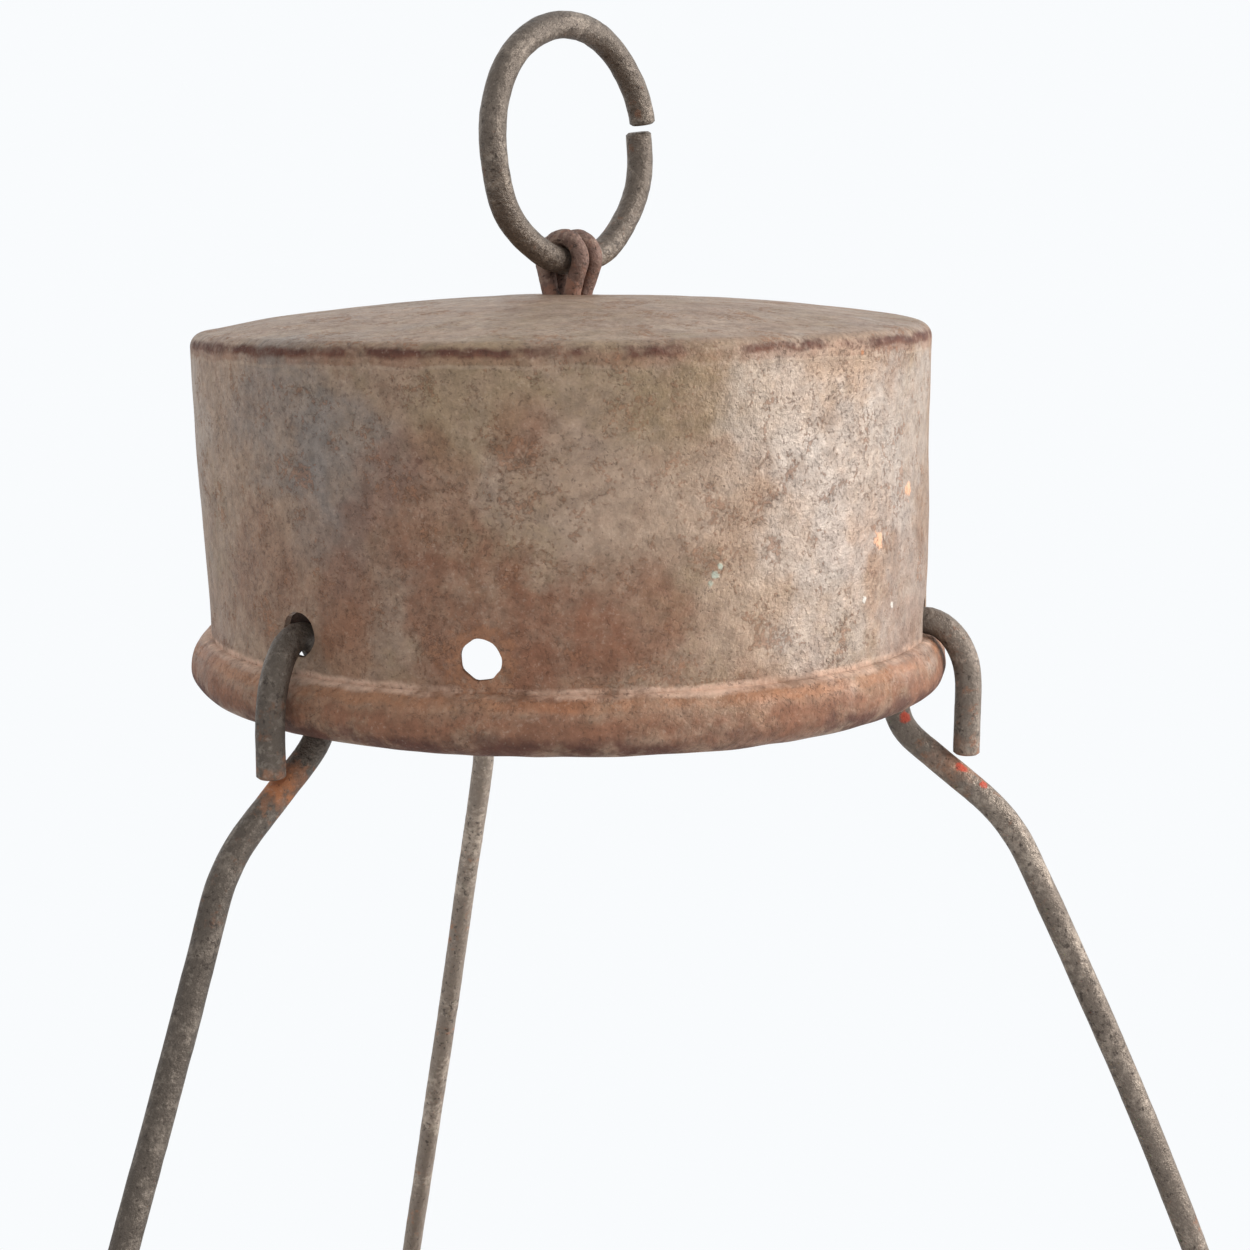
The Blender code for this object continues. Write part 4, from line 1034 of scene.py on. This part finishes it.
def build_candle(finish):
    radius = candle_high.x
    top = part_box("wick")[1].z - 9.0 * mm + 2.5 * mm
    shoulder = 2.5 * mm
    hollow = 2.5 * mm
    bore = WICK_D / 2 + TOUCH
    recess = 3.8 * mm
    recess_z = CANDLE_FOOT_Z + RIVET_HEAD_H + 0.8 * mm
    pool_z = top - hollow
    points = [Vector((0, pool_z - 6 * mm)), Vector((bore, pool_z - 6 * mm)), Vector((bore, pool_z))]
    points += bezier(Vector((bore + 0.6 * mm, pool_z)), Vector((radius * 0.5, pool_z)),
                     Vector((radius * 0.6, top - 0.8 * mm)),
                     Vector((radius - shoulder - 1.2 * mm, top - 0.1 * mm)), 16)
    points += arc((radius - shoulder, top - shoulder), (shoulder, shoulder), 90, 0, 8)
    points += straight((radius, top - shoulder), (radius, CANDLE_FOOT_Z + 1 * mm), 1.4 * mm)[1:]
    points += arc((radius - 1 * mm, CANDLE_FOOT_Z + 1 * mm), (1 * mm, 1 * mm), 0, -90, 20)
    points += [Vector((recess, CANDLE_FOOT_Z)), Vector((recess, recess_z)), Vector((0, recess_z))]
    outline = [(p.x, p.y, 0.0) for p in points]
    drips = [(0.5, 20 * mm, 0.9 * mm), (2.3, 33 * mm, 1.2 * mm),
             (3.6, 14 * mm, 0.8 * mm), (5.2, 26 * mm, 1.0 * mm)]

    def form(point, azimuth):
        out = Vector((point.x, point.y, 0))
        side = smooth(out.length, radius * 0.9, radius)
        out = out.normalized()
        proud = 0.18 * mm * noise.noise(point * 120.0) - 0.45 * mm
        for at, length, size in drips:
            off = abs((azimuth - at + math.pi) % (2 * math.pi) - math.pi) * radius
            tail = top - 2 * mm - length
            lobe = math.exp(-(off / (1.7 * mm)) ** 2)
            body = smooth(point.z, tail - 1.5 * mm, tail + 1.0 * mm)
            drop = math.exp(-((point.z - tail - 1.5 * mm) / (2.2 * mm)) ** 2) * 0.4
            proud += size * lobe * (0.65 * body + drop) * smooth(point.z, top + 0.5 * mm, top - 2.5 * mm)
        inside_cup = smooth(point.z, socket_high.z + 1.5 * mm, socket_high.z - 0.5 * mm)
        proud = proud * (1 - inside_cup)
        sag = 0.35 * mm * noise.noise(point * 70.0) * (1 - side) * smooth(point.z, top - 5 * mm, top - 3 * mm)
        return point + out * side * proud + Vector((0, 0, sag))

    candle = add_piece("wax_candle", lathe("wax_candle", outline, 160, form), finish, 50)
    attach(candle, "candle")
    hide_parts("candle")
    return candle


def build_wick(finish):
    low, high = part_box("wick")
    pool_z = low.z + 6 * mm - TOUCH
    foot = Vector((0, 0, low.z + 0.2 * mm))
    tip = Vector((2.4 * mm, -0.8 * mm, high.z - 0.3 * mm))
    path = [foot] + bezier(Vector((0, 0, pool_z)), Vector((0, 0, pool_z + 4.5 * mm)),
                           tip - Vector((1.2 * mm, 0, 2.2 * mm)), tip, 20)
    path = even(path, 0.12 * mm)

    def braid(point, run, turn):
        return 0.86 + 0.13 * abs(math.cos(1.5 * turn + run / (0.55 * mm))) + 0.05 * noise.noise(point * 2500)

    wick = add_piece("braided_wick", swept("braided_wick", path, WICK_D / 2, 18, braid), finish, 70)
    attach(wick, "candle")
    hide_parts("wick")
    return wick


# --- the studio ------------------------------------------------------------------------------

FLOOR_Z = PAN_BASE_Z - 0.13


WHITE = (0.948, 0.966, 0.983, 1)


def build_floor():
    """A wide pale floor that is bright to the eye and dimmer to the things above it."""
    shape = bmesh.new()
    bmesh.ops.create_grid(shape, x_segments=8, y_segments=8, size=6.0)
    bmesh.ops.translate(shape, verts=shape.verts, vec=(0, 0, FLOOR_Z))
    mesh = bpy.data.meshes.new("floor")
    shape.to_mesh(mesh)
    shape.free()
    made = bpy.data.materials.new("pale_floor")
    made.use_nodes = True
    made.node_tree.nodes.clear()
    n = Nodes(made.node_tree)
    seen = n.add("LightPath").outputs["Is Camera Ray"]
    matt = n.add("BsdfDiffuse", {"Color": (0.80, 0.805, 0.81, 1)})
    glow = n.add("Emission", {"Color": WHITE, "Strength": 1.0})
    both = n.add("MixShader", {0: seen, 1: matt.outputs[0], 2: glow.outputs[0]})
    n.add("OutputMaterial", {0: both.outputs[0]})
    mesh.materials.append(made)
    floor = bpy.data.objects.new("floor", mesh)
    bpy.context.scene.collection.objects.link(floor)
    floor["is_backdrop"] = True


def build_surroundings():
    """White walls: bright behind and to the right, darker in front and to the left."""
    world = bpy.data.worlds.new("white_studio")
    bpy.context.scene.world = world
    world.use_nodes = True
    world.node_tree.nodes.clear()
    n = Nodes(world.node_tree)
    way = n.add("TexCoord").outputs["Generated"]
    behind = n.vector("DOT_PRODUCT", way, Vector((0.42, 0.88, 0.22)).normalized())
    beside = n.vector("DOT_PRODUCT", way, Vector((-0.92, 0.38, 0.05)).normalized())
    glow = n.smooth(behind, -0.75, 0.85, 0.22, 1.0)
    glow = n.math("ADD", glow, n.smooth(beside, 0.55, 0.97, 0.0, 0.60))
    seen = n.add("LightPath").outputs["Is Camera Ray"]
    strength = n.blend(seen, glow, 1.0)
    light = n.add("Background", {"Color": WHITE, "Strength": strength})
    n.add("OutputWorld", {0: light.outputs[0]})


def area_light(name, location, target, size, power, colour=(1, 1, 1)):
    data = bpy.data.lights.new(name, "AREA")
    data.shape = "RECTANGLE"
    data.size, data.size_y = size
    data.energy = power
    data.color = colour
    lamp = bpy.data.objects.new(name, data)
    bpy.context.scene.collection.objects.link(lamp)
    lamp.location = location
    lamp.rotation_euler = (Vector(target) - Vector(location)).to_track_quat("-Z", "Y").to_euler()


def build_camera():
    data = bpy.data.cameras.new("camera")
    data.sensor_width = 36.0
    data.lens = 60.8
    data.clip_start = 0.01
    camera = bpy.data.objects.new("camera", data)
    bpy.context.scene.collection.objects.link(camera)
    camera.location = (0, -0.259, -0.0247)
    camera.rotation_euler = (math.radians(79.9), 0, math.radians(-1.51))
    bpy.context.scene.camera = camera


def build_studio():
    bpy.context.scene.view_settings.view_transform = "Standard"
    build_floor()
    build_surroundings()
    middle = (0, 0, -0.08)
    area_light("window", (0.85, -0.10, 0.22), middle, (0.7, 0.7), 9.6, (1.0, 0.985, 0.965))
    area_light("front_fill", (-0.25, -0.9, 0.35), middle, (0.6, 0.5), 3.0)
    build_camera()


# --- the lantern -----------------------------------------------------------------------------


def cap_spot(azimuth, drop):
    """A place on the cap's wall: azimuth in degrees, drop below its top edge."""
    return around(CAP_RADIUS, math.radians(azimuth), CAP_EDGE_Z - drop)


def build_lantern():
    for make in (make_bloom_effect, make_grain_effect, make_band_effect, make_spot_effect):
        make()
    spare = around(CAP_RADIUS, math.radians(SPARE_HOLE_AZIMUTH), CAP_HOLE_Z)
    cap_bands = [
        (RUST, 0.48, CAP_CREASE_Z - 1.8 * mm, 0.0, 3.0 * mm, 2.0 * mm),
        (RED_BROWN, 0.85, CAP_LIP_Z + 3.0 * mm, 0.0, 2.4 * mm, 2.6 * mm),
        (BRIGHT_RUST, 0.28, CAP_CREASE_Z - 1.0 * mm, 0.0, 0.9 * mm, 1.2 * mm),
        (PALE_RUST, 1.0, CAP_CREASE_Z + 0.1 * mm, 0.0, 0.75 * mm, 0.5 * mm),
        (DARK_RUST, 0.95, CAP_LIP_Z + 1.0 * mm, 0.0, 2.3 * mm, 2.4 * mm),
        (DARK_RUST, 1.0, CAP_EDGE_Z - 0.9 * mm, CAP_TILT, 0.80 * mm, 0.9 * mm),
        (RED_BROWN, 0.40, CAP_EDGE_Z - 1.6 * mm, CAP_TILT, 1.00 * mm, 1.4 * mm),
        # A thin pale line under the top edge: a painted highlight, the glint along the rounded shoulder
        (PALE_TAN, 0.35, CAP_EDGE_Z - 2.4 * mm, CAP_TILT, 0.30 * mm, 0.5 * mm),
    ]
    cap_washes = [
        (BLUE_GREY, 0.60, cap_spot(-44, 8 * mm), 10 * mm),
        (BLUE_GREY, 0.65, cap_spot(-32, 13 * mm), 9 * mm),
        (BLUE_GREY, 0.50, cap_spot(-36, 20 * mm), 8 * mm),
        (BLUE_GREY, 0.40, cap_spot(38, 13 * mm), 8 * mm),
        (OLIVE, 0.65, cap_spot(-12, 5 * mm), 9 * mm),
        (OLIVE, 0.55, cap_spot(4, 4 * mm), 8 * mm),
        (OLIVE, 0.65, cap_spot(18, 6 * mm), 9 * mm),
        (PALE_TAN, 0.55, cap_spot(6, 17 * mm), 8 * mm),
        (PALE_TAN, 0.50, cap_spot(20, 14 * mm), 8 * mm),
        (PALE_TAN, 0.45, cap_spot(31, 6 * mm), 8 * mm),
        (PALE_TAN, 0.45, cap_spot(25, 27 * mm), 8 * mm),
        (RED_BROWN, 0.45, cap_spot(-6, 9 * mm), 5 * mm),
        (RED_BROWN, 0.75, cap_spot(-14, 27 * mm), 10 * mm),
        (RED_BROWN, 0.85, cap_spot(0, 30 * mm), 9 * mm),
        (RED_BROWN, 0.65, cap_spot(9, 28 * mm), 8 * mm),
        (RED_BROWN, 0.55, cap_spot(-34, 28 * mm), 7 * mm),
        (RED_BROWN, 0.55, cap_spot(-22, 17 * mm), 9 * mm),
        (RED_BROWN, 0.35, cap_spot(-50, 26 * mm), 9 * mm),
        (RUST, 0.22, cap_spot(47, 22 * mm), 5 * mm),
        (RUST, 0.45, cap_spot(60, 35 * mm), 6 * mm),
        (RUST, 0.45, cap_spot(-33, 32 * mm), 5 * mm),
        # Pale grey washes: patina, and also painted sheen on the lit right side, with a painted vertical
        # light streak at 62 degrees and a painted rim light at the far left (-74 degrees)
        (SHEEN_PALE_GREY, 0.70, cap_spot(62, 10 * mm), 12 * mm),
        (SHEEN_PALE_GREY, 0.65, cap_spot(48, 16 * mm), 11 * mm),
        (SHEEN_PALE_GREY, 0.60, cap_spot(33, 20 * mm), 10 * mm),
        (SHEEN_PALE_GREY, 0.55, cap_spot(27, 8 * mm), 10 * mm),
        (SHEEN_PALE_GREY, 0.70, cap_spot(62, 29 * mm), 12 * mm),
        (SHEEN_PALE_GREY, 0.60, cap_spot(40, 29 * mm), 10 * mm),
        (SHEEN_PALE_GREY, 0.45, cap_spot(-74, 12 * mm), 10 * mm),
    ]
    cap_spots = [
        (RUST, 0.75, spare, 4.6 * mm),
        (PEACH, 0.90, cap_spot(61.6, 17.6 * mm), 1.15 * mm),
        (PEACH, 0.90, cap_spot(51.5, 22.4 * mm), 1.10 * mm),
        (CHALK, 0.80, cap_spot(47.8, 28.8 * mm), 0.5 * mm),
        (CHALK, 0.80, cap_spot(56.0, 30.2 * mm), 0.5 * mm),
        (VERDIGRIS, 0.60, cap_spot(20.1, 24.1 * mm), 0.6 * mm),
        (VERDIGRIS, 0.60, cap_spot(20.9, 23.2 * mm), 0.5 * mm),
        (VERDIGRIS, 0.50, cap_spot(19.3, 25.0 * mm), 0.5 * mm),
        (BRIGHT_RUST, 0.80, cap_spot(46.5, 1.6 * mm), 0.4 * mm),
        (DARK_RUST, 0.80, cap_spot(-63.2, 14.9 * mm), 0.6 * mm),
        (DARK_RUST, 0.55, cap_spot(-20.5, 12.0 * mm), 0.5 * mm),
    ]
    cap_steel = patinated_steel("cap_steel", (0, 0, 0), cap_bands, cap_washes, cap_spots,
                                (CAP_LIP_Z, CAP_EDGE_Z - 10 * mm), 0.75)
    pan_crease = PAN_LIP_Z - BEAD_UPPER - BEAD_LOWER
    pan_bands = [
        (RUST, 0.75, pan_crease + 1.5 * mm, 0.0, 3.2 * mm, 1.6 * mm),
        (PALE_RUST, 0.80, pan_crease - 0.1 * mm, 0.0, 0.55 * mm, 0.35 * mm),
        (DARK_RUST, 0.70, PAN_BASE_Z + 0.5 * mm, 0.0, 1.6 * mm, 1.2 * mm),
    ]
    pan_steel = patinated_steel("pan_steel", (0.37, 0.21, 0.13), pan_bands, (), (),
                                (PAN_BASE_Z - 4 * mm, PAN_LIP_Z - 4 * mm), 0.0)
    small_steel = patinated_steel("small_steel", (0.63, 0.44, 0.27),
                                  [(DARK_RUST, 0.6, FLANGE_Z + SHEET, 0.0, 1.4 * mm, 1.0 * mm)], (), (),
                                  (FLANGE_Z - 2 * mm, FLANGE_Z + 16 * mm), 0.0)
    wire_tones = ((0.165, 0.132, 0.106), (0.330, 0.272, 0.222), (0.240, 0.118, 0.068))
    # The ring's tones darkened: painted shade
    shaded_ring_tones = tuple(tuple(part * 0.86 for part in tone) for tone in wire_tones)
    ring_wire = old_wire("ring_wire", (0.1, 0.3, 0.2), shaded_ring_tones)
    tie_tones = ((0.200, 0.125, 0.100), (0.400, 0.285, 0.225), (0.300, 0.150, 0.098))
    tie_rust = old_wire("tie_rust", (0.5, 0.1, 0.6), tie_tones, (), 0.45, 0.55)
    rivet_rust = old_wire("rivet_rust", (0.2, 0.8, 0.6), tie_tones, (), 0.45, 0.50)

    build_ring(ring_wire)
    build_tie(tie_rust)
    build_cap(cap_steel)
    for seed, (node, spec) in enumerate(HANGERS.items()):
        touch = hook_touch(spec)
        rusted = (0.9, 0.3, 0.5)[seed]
        spots = [(RUST, 0.8 * rusted, touch, 4.2 * mm), (BRIGHT_RUST, 0.8 * rusted, touch, 2.4 * mm)]
        if node == "hanger_right":
            out = around(1.0, math.radians(spec["cap"]), 0.0)
            for along in (-8.0 * mm, 1.0 * mm, 4.5 * mm):
                speck = touch + out * (0.785 * along) + Vector((0, -1.3 * mm, 0.4 * mm - 0.62 * along))
                spots.append((RED_LEAD, 0.9, speck, 0.9 * mm))
        # Each hanger's tones scaled to the light it gets: painted shade on the left hanger, painted light on
        # the right one and more painted light on the back one
        light = (0.64, 1.15, 1.80)[seed]
        tones = tuple(tuple(min(1.0, part * light) for part in tone) for tone in wire_tones)
        hanger_wire = old_wire(node + "_steel", (0.3 * seed, 0.15, 0.4), tones, spots, 0.32)
        build_hanger(node, spec, hanger_wire, float(seed))
    build_pan(pan_steel)
    build_gallery(small_steel)
    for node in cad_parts:
        if "rivet" in node:
            build_rivet(node, rivet_rust)
    build_socket(small_steel)
    build_globe(clear_glass("globe_glass"))
    build_candle(candle_wax("wax", candle_high.z))
    build_wick(charred_string("wick_string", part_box("wick")[1].z - 6 * mm))


build_lantern()
build_studio()
boxes = {"cad": cad_box, "visual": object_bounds()}
{name: [list(corner) for corner in box] for name, box in boxes.items()}
